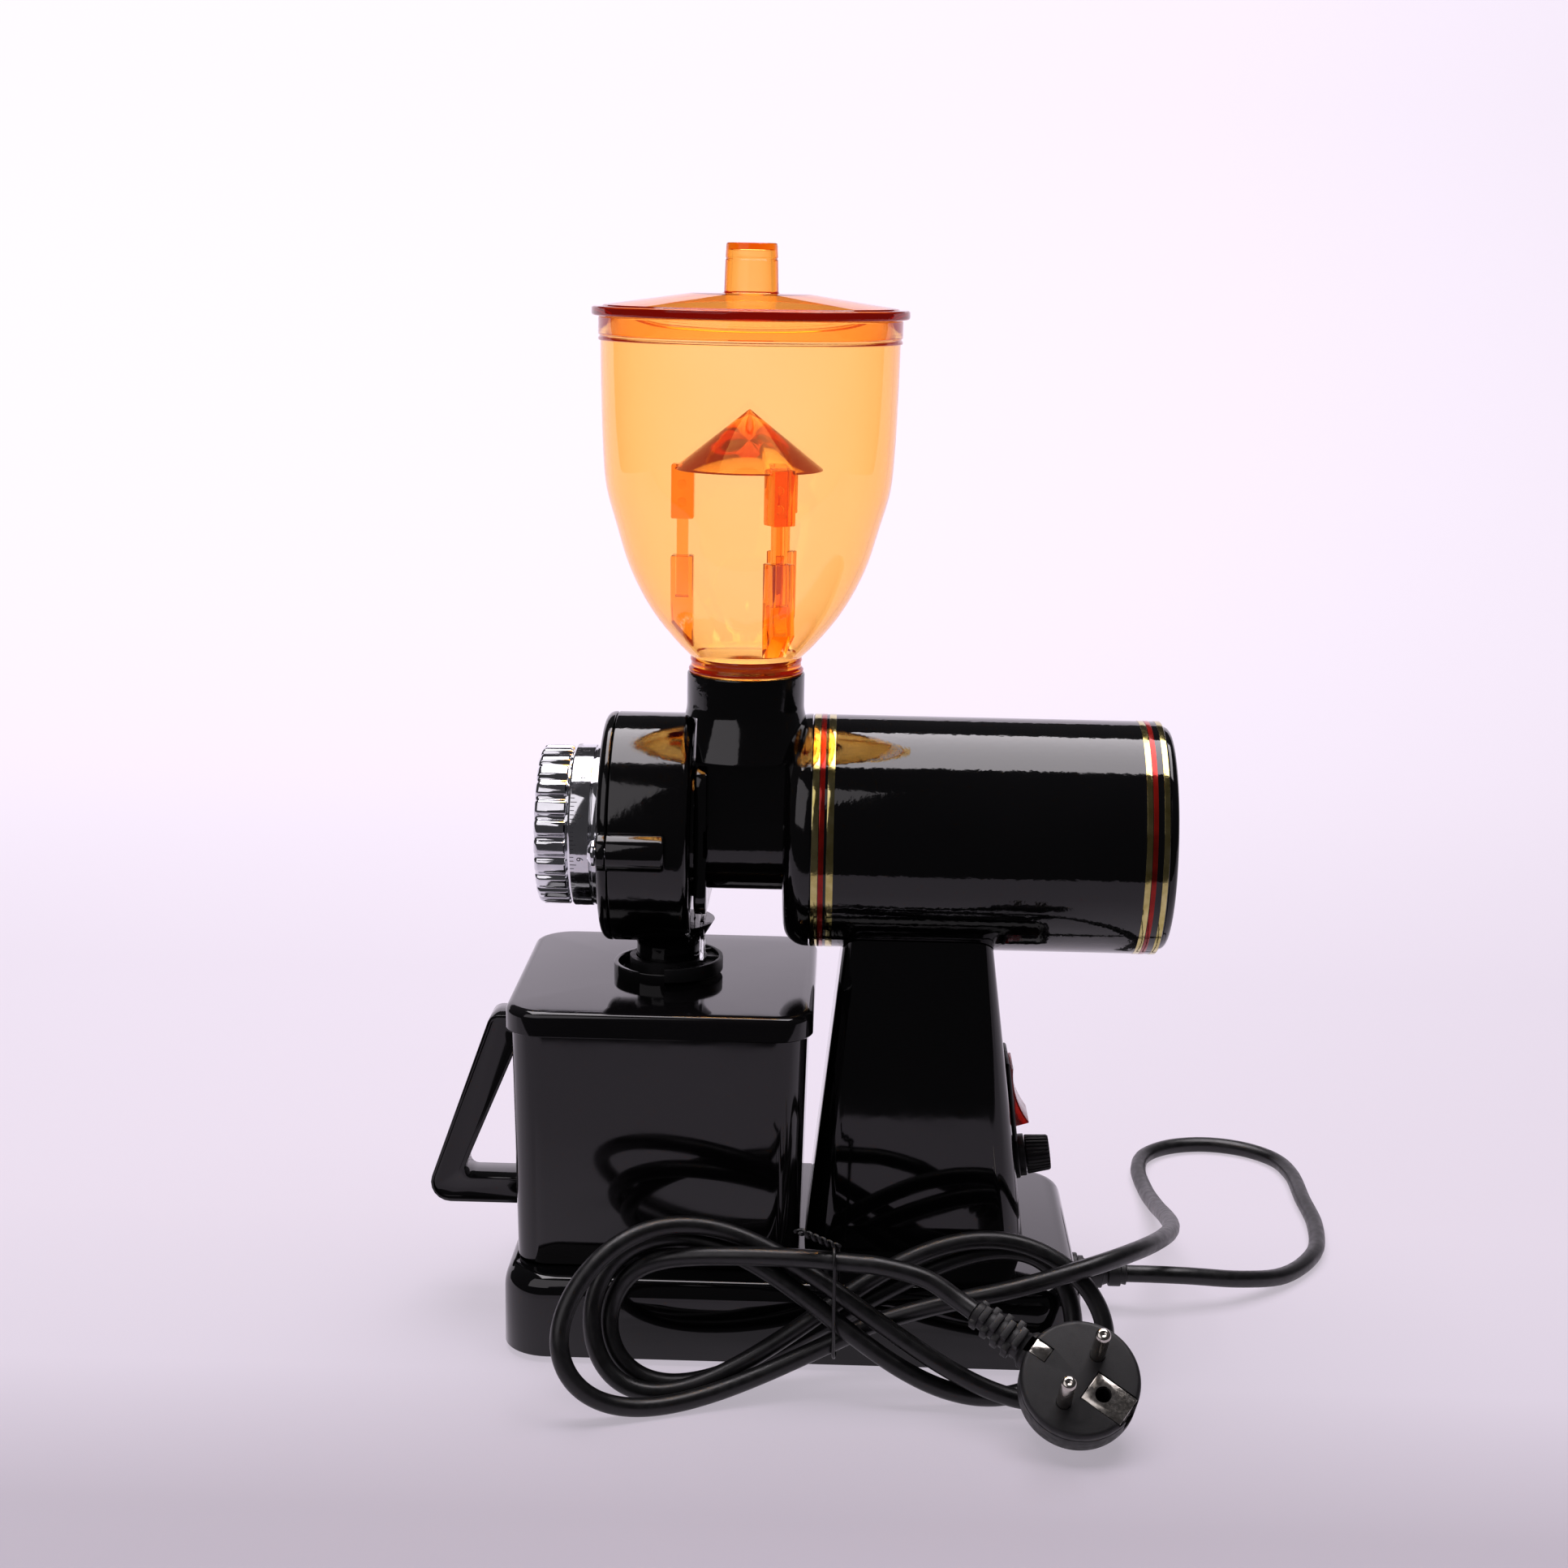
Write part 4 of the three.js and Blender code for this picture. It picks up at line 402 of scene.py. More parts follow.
# Extruded PVC sheath: satin black with die lines too fine to see singly
cordVinyl = varied("extrudedPvcSheath", "#09090a", "#111112", (0.3, 0.45), 9, [(0.7, 0.012), (14, 0.05)])
# Moulded plug PVC: softer and duller than the cord, with an eroded tool texture
plugVinyl = varied("mouldedPlugPvc", "#0c0c0d", "#151516", (0.42, 0.6), 8, [(0.4, 0.02)])
# Nickel plate on turned brass: bright, with turning marks that show as a slight blur
pinNickel = varied(
    "nickelPlatedBrass", "#b9b4aa", "#d6d2ca", (0.12, 0.24), 3, [(0.25, 0.002)], **{"Metallic": 1}
)
# Bright chrome over a zinc casting: mirror-like, with the casting's slow waves under it
brightChrome = varied(
    "chromedZincCasting", "#d4d5d9", "#e9eaee", (0.04, 0.12), 10, [(0.6, 0.003), (5, 0.02)], **{"Metallic": 1}
)
# Ground tool steel of the burrs and shaft: grey, with fine grinding lines
burrSteel = varied("groundToolSteel", "#8b8c8f", "#a5a6a9", (0.25, 0.42), 5, [(0.3, 0.006)], **{"Metallic": 1})
# Phosphated steel sheet of the base plate: dull grey with mottled crystals
plateSteel = varied("zincPlatedSheet", "#8f9499", "#b3b8bc", (0.3, 0.5), 6, [(1.5, 0.004)], **{"Metallic": 1})
# Clear rigid PVC: bends light, with faint handling haze
clearVinyl = varied(
    "clearRigidPvc", "#f2f4f6", "#ffffff", (0.02, 0.08), 8, [(3, 0.01)], **{"Transmission Weight": 1, "IOR": 1.4}
)
# Drawn glass of the fuse tube
fuseGlass = varied(
    "drawnGlassTube", "#f4f8f6", "#ffffff", (0.01, 0.04), 10, [(4, 0.004)], **{"Transmission Weight": 1, "IOR": 1.47}
)
# Red polycarbonate of the rocker: light glows inside it
rockerRed = varied(
    "redPolycarbonate",
    "#d81a10",
    "#ee2c1a",
    (0.06, 0.14),
    9,
    [(2, 0.006)],
    **{"Transmission Weight": 0.55, "IOR": 1.5, "Subsurface Weight": 0.3, "Subsurface Radius": (0.004, 0.001, 0.001)},
)
# Gold foil tape: metal under a lacquer, rippled where it was pressed on by hand
goldFoil = varied(
    "goldFoilTape", "#b3a45c", "#dccf92", (0.06, 0.16), 6, [(2.2, 0.04), (9, 0.08)], **{"Metallic": 1}
)
# Red foil tape between the gold: the same lacquered metal, dyed
redFoil = varied("redFoilTape", "#8a1610", "#b4241a", (0.06, 0.16), 6, [(2.2, 0.04), (9, 0.08)], **{"Metallic": 0.6})
# Ink filled into the dial's engraving: dull black, worn thin in spots
dialInk = varied("engravingInk", "#26262a", "#4c4c52", (0.4, 0.7), 1.5, [(0.3, 0.004)])
# Black enamel on a wire: the tie's plastic coat
tieCoat = varied("coatedTieWire", "#0b0b0b", "#161616", (0.3, 0.5), 3, [(0.5, 0.01)])


def amberResin(name, hue, density, bend):
    # Injection-moulded amber acrylic: clear, deeper in colour where the light's path through it is longer.
    # A faint red emission is a painted glow, standing in for the red light caught inside its edges.
    material, shader, output = newSurface(
        name,
        {"Transmission Weight": 1, "IOR": bend, "Emission Color": (1, 0.05, 0.016, 1), "Emission Strength": 0.042},
    )
    join(material, tinted(material, grain(material, 25), "#fffbf4", "#fffdf8"), shader, "Base Color")
    join(material, spread(material, grain(material, 8), 0.01, 0.04), shader, "Roughness")
    raised(material, shader, (grain(material, 12, 1), 0.02))
    absorbing = addNode(material, "ShaderNodeVolumeAbsorption", values={"Color": hue, "Density": density})
    material.node_tree.links.new(absorbing.outputs["Volume"], output.inputs["Volume"])
    return material


amberAcrylic = amberResin("mouldedAmberAcrylic", (0.99, 0.735, 0, 1), 310, 1.42)
deepAcrylic = amberResin("mouldedDeepAmberAcrylic", (0.95, 0.68, 0, 1), 430, 1.3)  # the lid and guard hold more dye


def laminated():
    # Stacked electrical steel: the sheets' edges show as lines 0.5 mm apart along the stack
    material, shader, _ = newSurface("laminatedSteel", {"Metallic": 1})
    spot = addNode(material, "ShaderNodeTexCoord").outputs["Object"]
    sheets = addNode(
        material,
        "ShaderNodeTexWave",
        settings={"bands_direction": "X"},
        values={"Scale": 0.314 / (0.5 * mm), "Distortion": 0.4},
        links={"Vector": spot},
    )
    join(material, tinted(material, sheets.outputs["Fac"], "#3c3d41", "#6c6d72"), shader, "Base Color")
    join(material, spread(material, grain(material, 4), 0.4, 0.6), shader, "Roughness")
    raised(material, shader, (sheets.outputs["Fac"], 0.03))
    return material


def wound():
    # Varnished winding wire: 0.6 mm strands running round the motor's axis
    material, shader, _ = newSurface("varnishedCopperWire", {"Metallic": 0.85, "Coat Weight": 0.4})
    spot = addNode(material, "ShaderNodeTexCoord").outputs["Object"]
    centred = addNode(
        material,
        "ShaderNodeMapping",
        values={"Location": (0, 0, -axisHeight * mm)},
        links={"Vector": spot},
    )
    strands = addNode(
        material,
        "ShaderNodeTexWave",
        settings={"wave_type": "RINGS", "rings_direction": "X"},
        values={"Scale": 0.314 / (0.6 * mm), "Distortion": 1.5, "Detail": 1},
        links={"Vector": centred.outputs["Vector"]},
    )
    join(material, tinted(material, strands.outputs["Fac"], "#6b2c14", "#c0713a"), shader, "Base Color")
    join(material, spread(material, grain(material, 3), 0.3, 0.5), shader, "Roughness")
    raised(material, shader, (strands.outputs["Fac"], 0.2))
    return material


laminatedSteel = laminated()
copperWire = wound()
print("materials done")


# ---- mains cord, first of the pieces ----
cordValues = {
    "radius": 3.1,
    "length": 1.644,  # metres
    "exit": (139.1, 0, 12.5),
    "straight": (147.1, 0, 12.5),
    "centre": 35.3,
    "front": -84.4,
    "lean": 25.3,
    "reaches": [89.6, 87.6, 90.4, 88.8, 77.5, 79.3, 63.8, 79, 87.7, 74.1, 81],
    "rises": [21.8, 21.6, 29.6, 23.8, 27.2, 26.8, 23.2, 22.4, 25.5, 15.7, 3.9],
    "heights": [20.4, 18.8, 36.2, 23.9, 32.8, 26.8, 26.8, 27, 27.9, 25.1, 45.4],
    "layers": [0.8, 25.4, 9.1, -2.6, -1.8, 7.3, 7.4, -9.4, -8.1, 1.4, 17.5],
    "lobes": 5,
    "plugPlace": (112.6, -109.3),
    "plugTilt": 44,
    "plugSpin": 35.5,
    "plugRadius": 19,
    "plugThickness": 15,
    "reliefLength": 21,
}
leadPoints = [
    (160.9, 1.3, 11.7),
    (181.3, 8.5, 7.9),
    (199.5, 22.3, 3.9),
    (214.7, 45.7, 3.2),
    (220, 73, 3.2),
    (220, 100, 3.2),
    (220, 128, 3.2),
    (215.8, 143.5, 3.2),
    (204.5, 154.8, 3.2),
    (189, 159, 3.2),
    (173.5, 154.8, 3.2),
    (162.2, 143.5, 3.2),
    (158, 128, 3.2),
    (158, 103.9, 3.9),
    (158.5, 74, 9.1),
    (158.1, 41.3, 17.7),
    (155.3, 8.2, 27.5),
    (148.9, -22.5, 36.4),
    (137.6, -48.3, 42.3),
    (120, -66.3, 43.4),
    (94.4, -73.3, 37.8),
    (67, -73.2, 30.5),
]
tailPoints = [(64.5, -82.3, 44)]


def eased(keys, spot):
    before = min(int(spot), len(keys) - 2)
    share = (1 - math.cos(math.pi * (spot - before))) / 2
    return keys[before] + (keys[before + 1] - keys[before]) * share


def hankPoint(turn):
    spot = 2 * turn / math.pi
    lean = math.radians(cordValues["lean"])
    rise = eased(cordValues["heights"], spot) - eased(cordValues["rises"], spot) * math.sin(2 * turn)
    layer = eased(cordValues["layers"], spot)
    return Vector(
        (
            cordValues["centre"] - eased(cordValues["reaches"], spot) * math.sin(turn),
            cordValues["front"] + rise * math.sin(lean) - layer * math.cos(lean),
            rise * math.cos(lean) + layer * math.sin(lean),
        )
    )


def pastEnd(end, neighbour, distance):
    return end + (end - neighbour).normalized() * distance


def smoothRoute(points, steps):
    # a centripetal curve through the points, the same as the part's own
    points = [Vector(point) for point in points]
    route = []
    for i in range(len(points) - 1):
        one, two = points[i], points[i + 1]
        before = points[i - 1] if i else 2 * points[0] - points[1]
        after = points[i + 2] if i + 2 < len(points) else 2 * points[-1] - points[-2]
        spans = [max((b - a).length, 1e-6) ** 0.5 for a, b in ((before, one), (one, two), (two, after))]
        startPull = (one - before) / spans[0] - (two - before) / (spans[0] + spans[1]) + (two - one) / spans[1]
        endPull = (two - one) / spans[1] - (after - one) / (spans[1] + spans[2]) + (after - two) / spans[2]
        startPull, endPull = startPull * spans[1], endPull * spans[1]
        for step in range(steps):
            t = step / steps
            bend = -3 * one + 3 * two - 2 * startPull - endPull
            turn = 2 * one - 2 * two + startPull + endPull
            route.append(one + startPull * t + bend * t**2 + turn * t**3)
    return route + [points[-1]]


def curveThrough(name, routes, radius, resolution=4):
    # round bars along lines of points, each line an open spline
    line = bpy.data.curves.new(name, "CURVE")
    line.dimensions = "3D"
    line.bevel_depth = radius * mm
    line.bevel_resolution = resolution
    line.use_fill_caps = True
    for route in routes:
        spline = line.splines.new("POLY")
        spline.points.add(len(route) - 1)
        for point, spot in zip(spline.points, route):
            point.co = (*at(*spot), 1)
        spline.use_smooth = True
    piece = bpy.data.objects.new(name, line)
    bpy.context.collection.objects.link(piece)
    return piece


hankStart, hankEnd = hankPoint(0), hankPoint(math.pi * cordValues["lobes"])
nearStart, nearEnd = hankPoint(math.pi / 24), hankPoint(math.pi * (cordValues["lobes"] - 1 / 24))
plugTilt, plugSpin = math.radians(cordValues["plugTilt"]), math.radians(cordValues["plugSpin"])
facing = Vector((0, -math.cos(plugTilt), math.sin(plugTilt)))
upward = Vector((0, math.sin(plugTilt), math.cos(plugTilt)))
outlet = Vector((-math.cos(plugSpin), 0, 0)) + upward * math.sin(plugSpin)
plugHeight = cordValues["plugThickness"] * math.sin(plugTilt) + cordValues["plugRadius"] * math.cos(plugTilt)
plugSpot = Vector((*cordValues["plugPlace"], plugHeight))
plugBack = plugSpot - facing * cordValues["plugThickness"] / 2
plugEnd = cordValues["plugRadius"] + cordValues["reliefLength"] + 0.3
leadRoute = smoothRoute(
    [
        cordValues["exit"],
        cordValues["straight"],
        *leadPoints,
        pastEnd(hankStart, nearStart, 12.7),
        pastEnd(hankStart, nearStart, 6.5),
    ],
    6,
)
hankRoute = [hankPoint(math.pi * step / 96) for step in range(96 * cordValues["lobes"] + 1)]
tailRoute = smoothRoute(
    [
        pastEnd(hankEnd, nearEnd, 6.5),
        pastEnd(hankEnd, nearEnd, 12.7),
        *tailPoints,
        plugBack + outlet * (plugEnd + 6.2),
        plugBack + outlet * plugEnd,
    ],
    8,
)
mainsCord = curveThrough("mainsCord", [leadRoute + hankRoute + tailRoute], cordValues["radius"], 5)
mainsCord.data.materials.append(cordVinyl)
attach(mainsCord, "machine")
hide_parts("cord_lead", "cord_hank", "cord_tail")

# Wire tie: one turn round the strands at the waist, its ends twisted together
tieValues = {"radius": 0.6, "clearance": 1.4, "pitch": 2, "endLength": 15, "twist": 5, "steps": 72}
strands = [hankPoint(math.pi * lobe) for lobe in range(cordValues["lobes"] + 1)]
tieLoop = []
for step in range(tieValues["steps"] + 1):
    angle = math.pi / 2 + 2 * math.pi * step / tieValues["steps"]
    outward = Vector((0, math.cos(angle), math.sin(angle)))
    outermost = max(strand.dot(outward) for strand in strands)
    nearest = max(strands, key=lambda strand: strand.dot(outward))
    away = cordValues["radius"] + tieValues["radius"] + tieValues["clearance"]
    across = Vector((tieValues["pitch"] * (step / tieValues["steps"] - 0.5), 0, 0))
    tieLoop.append(nearest + outward * away + across)
rising = Vector((-1, -0.2, 0.5)).normalized()
sideways = Vector((0.5, 0, 1)).normalized()
tieMiddle = (tieLoop[0] + tieLoop[-1]) / 2


def tieEnd(phase, length):
    points = []
    for step in range(1, 41):
        distance = length * step / 40
        angle = phase + 2 * math.pi * distance / tieValues["twist"]
        arm = sideways * math.cos(angle) + Vector((0, 1, 0)) * math.sin(angle)
        points.append(tieMiddle + rising * distance + arm * (tieValues["radius"] + 0.15))
    return points


wireTie = curveThrough(
    "wireTie",
    [tieEnd(math.pi, tieValues["endLength"])[::-1] + tieLoop + tieEnd(0, tieValues["endLength"] * 0.9)],
    tieValues["radius"],
    3,
)
wireTie.data.materials.append(tieCoat)
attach(wireTie, "machine")
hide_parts("wire_tie")

# Plug, in a frame of its own: x along the cord, z out of the face
plugTurn = Matrix((outlet, facing.cross(outlet), facing)).transposed()


def onPlug(piece):
    return place(piece, at(*plugSpot), plugTurn)


plugValues = {
    "rimRound": 1.6,
    "rootRadius": 5.9,
    "tipRadius": 4.3,
    "ribs": 8,
    "pinRadius": 2.4,
    "pinLength": 19,
    "pinSpread": 9.5,
    "clipWidth": 5,
    "earthHole": 2.4,
}
plugRadius, plugThickness = cordValues["plugRadius"], cordValues["plugThickness"]
plugBody = turned(
    "plugBody",
    filleted(
        [
            (0, -plugThickness),
            (plugRadius, -plugThickness, 2.4),
            (plugRadius, -4.2, 0.3),
            (plugRadius - 0.4, -4.1, 0.2),
            (plugRadius - 0.4, -3.6, 0.2),
            (plugRadius, -3.5, 0.3),
            (plugRadius, 0, plugValues["rimRound"]),
            (0, 0),
        ]
    ),
    96,
)
neck = turned(
    "plugNeck",
    filleted(
        [
            (0, plugRadius - 6),
            (plugValues["rootRadius"] + 1.4, plugRadius - 6),
            (plugValues["rootRadius"] + 0.6, plugRadius + 0.6, 1),
            (plugValues["rootRadius"] - 1, plugRadius + 2.2, 1),
            (plugValues["tipRadius"] - 0.6, plugRadius + 18, 0.5),
            (plugValues["tipRadius"], plugRadius + 18.4, 0.3),
            (plugValues["tipRadius"], plugRadius + 21, 0.8),
            (0, plugRadius + 21),
        ]
    ),
    48,
)
place(neck, Vector((0, 0, -plugThickness / 2 * mm)), alongX)
plugBody = unite(plugBody, neck)
ribs = []
for row in range(plugValues["ribs"]):
    # blocks in turn across and up, overlapping a little, stand for the ribs that let the real neck bend
    share = row / (plugValues["ribs"] - 1)
    reach = plugValues["rootRadius"] * (1 - share) + plugValues["tipRadius"] * share + 0.2
    wide, high = (reach, reach * 0.6) if row % 2 else (reach * 0.6, reach)
    start = plugRadius + 2.6 + row * 2.2
    rib = block("plugRib", (start, -wide, -high), (start + 2.5, wide, high), 0.45, 2)
    ribs.append(place(rib, Vector((0, 0, -plugThickness / 2 * mm))))
plugBody = unite(plugBody, *ribs)
clipOuter = plugRadius - 1.1
upperRoom = block("room", (clipOuter - 6.1, -2.8, -1.4), (plugRadius + 1, 2.8, 1))
upperSlot = block("room", (clipOuter - 1.1, -2.8, -9.3), (plugRadius + 1, 2.8, 1))
lowerRoom = block("room", (-plugRadius - 1, -5.3, -1.4), (-3.2, 5.3, 1))
lowerSlot = block("room", (-plugRadius - 1, -2.8, -9.3), (-clipOuter + 1.1, 2.8, 1))
earthRoom = rod("room", plugValues["earthHole"], -13, 1, (-8.5, 0))
pinRooms = [rod("room", plugValues["pinRadius"] + 0.1, -4, 1, (0, side * 9.5)) for side in (-1, 1)]
plugBody = carve(plugBody, upperRoom, upperSlot, lowerRoom, lowerSlot, earthRoom, *pinRooms)
onPlug(plugBody)
finishPiece(plugBody, plugVinyl, "machine", "plug_vinyl", "plug_body", angle=40)
for name, node, side in (("plugPinUpper", "plug_pin_upper", 1), ("plugPinLower", "plug_pin_lower", -1)):
    pin = turned(
        name,
        filleted(
            [
                (0, -3.6),
                (plugValues["pinRadius"], -3.6),
                (plugValues["pinRadius"], plugValues["pinLength"], 1.3),
                (0.9, plugValues["pinLength"], 0.2),
                (0, plugValues["pinLength"] - 0.5),
            ]
        ),
        48,
    )
    place(pin, Vector((0, side * plugValues["pinSpread"] * mm, 0)))
    onPlug(pin)
    finishPiece(pin, pinNickel, "machine", "pin_brass", node)
upperClip = unite(
    block("earthClipUpper", (clipOuter - 5.8, -2.5, -1.1), (clipOuter, 2.5, -0.3), 0.15, 2),
    block("leg", (clipOuter - 0.8, -2.5, -9), (clipOuter, 2.5, -0.3), 0.15, 2),
)
onPlug(upperClip)
finishPiece(upperClip, pinNickel, "machine", "pin_brass", "earth_clip_upper")
lowerClip = unite(
    block("earthClipLower", (-clipOuter, -5, -1.1), (-3.5, 5, -0.3), 0.15, 2),
    block("leg", (-clipOuter, -2.5, -9), (-clipOuter + 0.8, 2.5, -0.3), 0.15, 2),
)
carve(lowerClip, rod("hole", plugValues["earthHole"] + 0.2, -3, 2, (-8.5, 0)))
onPlug(lowerClip)
finishPiece(lowerClip, pinNickel, "machine", "pin_brass", "earth_clip_lower")
glandValues = {"root": 6, "tip": 4.6, "length": 20, "rings": 3, "collar": 7}
glandProfile = [(0, 0), (glandValues["collar"], 0), (glandValues["collar"], 2.5, 0.6)]
for ring in range(glandValues["rings"]):
    wide = glandValues["root"] - (glandValues["root"] - glandValues["tip"]) * ring / 2
    start = 2.5 if ring == 0 else 6.67 * ring
    glandProfile += [(wide - 0.3 if ring == 0 else wide - 0.9, start, 0.2), (wide, start + 0.4, 0.3)]
    glandProfile += [(wide, 6.67 * ring + 4.6, 0.3), (wide - 0.9, 6.67 * ring + 4.9, 0.2)]
glandProfile += [(glandValues["tip"] - 0.5, glandValues["length"], 0.3), (3.3, glandValues["length"]), (3.3, 12), (0, 12)]
cordGland = turned("cordGland", filleted(glandProfile, 3), 64)
place(cordGland, at(118.8, 0, 12.5), alongX)
finishPiece(cordGland, erodedAbs, "machine", "matt_plastic", "cord_gland")
print("cords done")


# ---- base ----
baseValues = {
    "front": -77.5,
    "rear": 118.5,
    "half": 59,
    "corner": 16,
    "foot": 2,
    "top": 30,
    "shoulder": 8,
    "inset": 4.5,
    "wall": 2.5,
}
baseLevels = [(baseValues["foot"], baseValues["front"], baseValues["rear"], baseValues["half"])]
for step in range(9):
    angle = math.pi / 2 * step / 8
    inset = baseValues["inset"] * (1 - math.cos(angle))
    height = baseValues["top"] + baseValues["shoulder"] * (math.sin(angle) - 1)
    baseLevels.append(
        (height, baseValues["front"] + inset, baseValues["rear"] - inset, baseValues["half"] - inset)
    )
baseShell = lofted("baseShell", baseLevels, baseValues["corner"], 12)
edit(baseShell)
choose(baseShell, "faces", lambda spot, way: spot.z < baseValues["foot"] + 0.1 and way.z < -0.9)
bpy.ops.mesh.inset(thickness=baseValues["wall"] * mm)
bpy.ops.mesh.extrude_region_move(TRANSFORM_OT_translate={"value": (0, 0, 24 * mm)})
choose(baseShell, "edges", lambda spot, way: spot.z < baseValues["foot"] + 0.1 and abs(way.z) < 0.1)
bpy.ops.mesh.bevel(offset=0.4 * mm, segments=2, affect="EDGES")
leave()
cleaned(baseShell)
finishPiece(baseShell, panelEnamel, "machine", "black_steel", "base_shell")

# ---- pillar, hollow, cut to the motor's round and pierced for the switch and the fuse ----
pillarValues = {
    "footHeight": 30.3,
    "foot": (24, 100.4, 27.5),
    "axis": (39, 81.6, 22.5),
    "corner": 9,
    "wall": 3,
    "motor": 40.3,
}


def pillarLevel(height, inset):
    share = (height - pillarValues["footHeight"]) / (axisHeight - pillarValues["footHeight"])
    front, rear, half = [
        low + (high - low) * share for low, high in zip(pillarValues["foot"], pillarValues["axis"])
    ]
    return height, front + inset, rear - inset, half - inset


panelTilt = math.atan2(pillarValues["foot"][1] - pillarValues["axis"][1], axisHeight - pillarValues["footHeight"])
panelTurn = Matrix.Rotation(-panelTilt, 3, "Y")


def panelSpot(height):
    return at(pillarLevel(height, 0)[2], 0, height)


pillar = lofted("pillar", [pillarLevel(30.3, 0), pillarLevel(axisHeight, 0)], pillarValues["corner"])
hollow = lofted("hollow", [pillarLevel(29, 3), pillarLevel(126, 3)], pillarValues["corner"] - 3)
motorRoom = onAxis(rod("motorRoom", pillarValues["motor"], -10, 160, steps=160))
switchRoom = place(block("switchRoom", (-8, -10.9, -12.8), (8, 10.9, 12.8)), panelSpot(79.6), panelTurn)
fuseRoom = place(place(rod("fuseRoom", 6.6, -8, 8), Vector(), alongX), panelSpot(56), panelTurn)
carve(pillar, hollow, motorRoom, switchRoom, fuseRoom)
finishPiece(pillar, panelEnamel, "machine", "black_steel", "pillar")

# ---- rocker switch ----
switchValues = {
    "height": 79.6,
    "bezel": (14.3, 12.4, 1.5),
    "body": (12.5, 10.6, 21),
    "rocker": (10.2, 9.3),
    "crown": 6.8,
    "dip": 5,
    "skirt": 3,
    "pivot": 2,
    "tilt": 10,
}
bezelHalf, bezelWide, bezelDeep = switchValues["bezel"]
switchBezel = block("switchBezel", (0.3, -bezelWide, -bezelHalf), (0.3 + bezelDeep, bezelWide, bezelHalf), 0.9, 4)
switchBody = block("switchBody", (-21, -10.6, -12.5), (1.4, 10.6, 12.5), 0.5, 2)
unite(switchBezel, switchBody)
carve(switchBezel, block("well", (-7.4, -9.6, -12.15), (4, 9.6, 12.15)))
place(switchBezel, panelSpot(switchValues["height"]), panelTurn)
finishPiece(switchBezel, erodedAbs, "machine", "matt_plastic", "switch_housing")

rockerHalf, rockerWide = switchValues["rocker"]
rockerOutline = [(-switchValues["skirt"], -rockerHalf)]
for step in range(17):
    height = rockerHalf * (step / 8 - 1)
    crown = switchValues["dip"] + (switchValues["crown"] - switchValues["dip"]) * (height / rockerHalf) ** 2
    rockerOutline.append((crown, height))
rockerOutline.append((-switchValues["skirt"], rockerHalf))
rockerButton = prism("rockerButton", rockerOutline, [(-rockerWide, 1), (rockerWide, 1)])
place(rockerButton, Vector(), Matrix.Rotation(math.pi / 2, 3, "X"))  # its outline now lies in x and z
edit(rockerButton)
choose(rockerButton, "edges", lambda spot, way: spot.x > 3 and abs(spot.y) > rockerWide - 0.1)
bpy.ops.mesh.bevel(offset=0.6 * mm, segments=3, affect="EDGES")
leave()
pivotSpot = panelSpot(switchValues["height"]) + panelTurn @ Vector((-switchValues["pivot"] * mm, 0, 0))
rockerTurn = panelTurn @ Matrix.Rotation(-math.radians(switchValues["tilt"]), 3, "Y")
place(rockerButton, pivotSpot, rockerTurn)
finishPiece(rockerButton, rockerRed, "rocker", "red_button", "rocker_button", angle=30)

# ---- fuse holder and its ribbed cap ----
fuseValues = {"height": 56, "flange": 8.1, "ring": 7.4, "body": 6.3, "capRadius": 6.9, "capTip": 6.2, "ribs": 28}
fuseHolder = turned(
    "fuseHolder",
    filleted(
        [
            (0, -26.7),
            (fuseValues["body"], -26.7, 0.5),
            (fuseValues["body"], 0.3),
            (fuseValues["flange"], 0.3, 0.3),
            (fuseValues["flange"], 1.9, 0.5),
            (fuseValues["ring"], 1.9),
            (fuseValues["ring"], 4.2, 0.3),
            (3.8, 4.2, 0.2),
            (3.8, -22.7),
            (0, -22.7),
        ]
    ),
    72,
)
place(fuseHolder, Vector(), alongX)
place(fuseHolder, panelSpot(fuseValues["height"]), panelTurn)
finishPiece(fuseHolder, erodedAbs, "machine", "matt_plastic", "fuse_holder")


def starOutline(radius, depth, count, shares):
    # a round outline with ribs: shares of a pitch, each with the share of the depth it lies below the radius
    outline = []
    for i in range(count):
        for share, low in shares:
            angle = 2 * math.pi * (i + share) / count
            reach = radius - depth * low
            outline.append((reach * math.cos(angle), reach * math.sin(angle)))
    return outline


capShares = [(0, 0.3), (0.12, 0), (0.38, 0), (0.5, 0.3), (0.6, 1), (0.9, 1)]
tip = fuseValues["capTip"] / fuseValues["capRadius"]
fuseCap = prism(
    "fuseCap",
    starOutline(fuseValues["capRadius"], 0.5, fuseValues["ribs"], capShares),
    [(4.5, 0.97), (4.9, 1), (12.2, tip), (12.8, tip * 0.93), (12.8, tip * 0.8), (12.4, tip * 0.78)],
)
unite(fuseCap, rod("stem", 3.4, 0, 5.5, steps=40))
carve(fuseCap, block("coinSlot", (-4.4, -0.7, 11.6), (4.4, 0.7, 14)))
place(fuseCap, Vector(), alongX)
place(fuseCap, panelSpot(fuseValues["height"]), panelTurn)
finishPiece(fuseCap, erodedAbs, "fuse", "matt_plastic", "fuse_cap", angle=30)
print("base and pillar done")

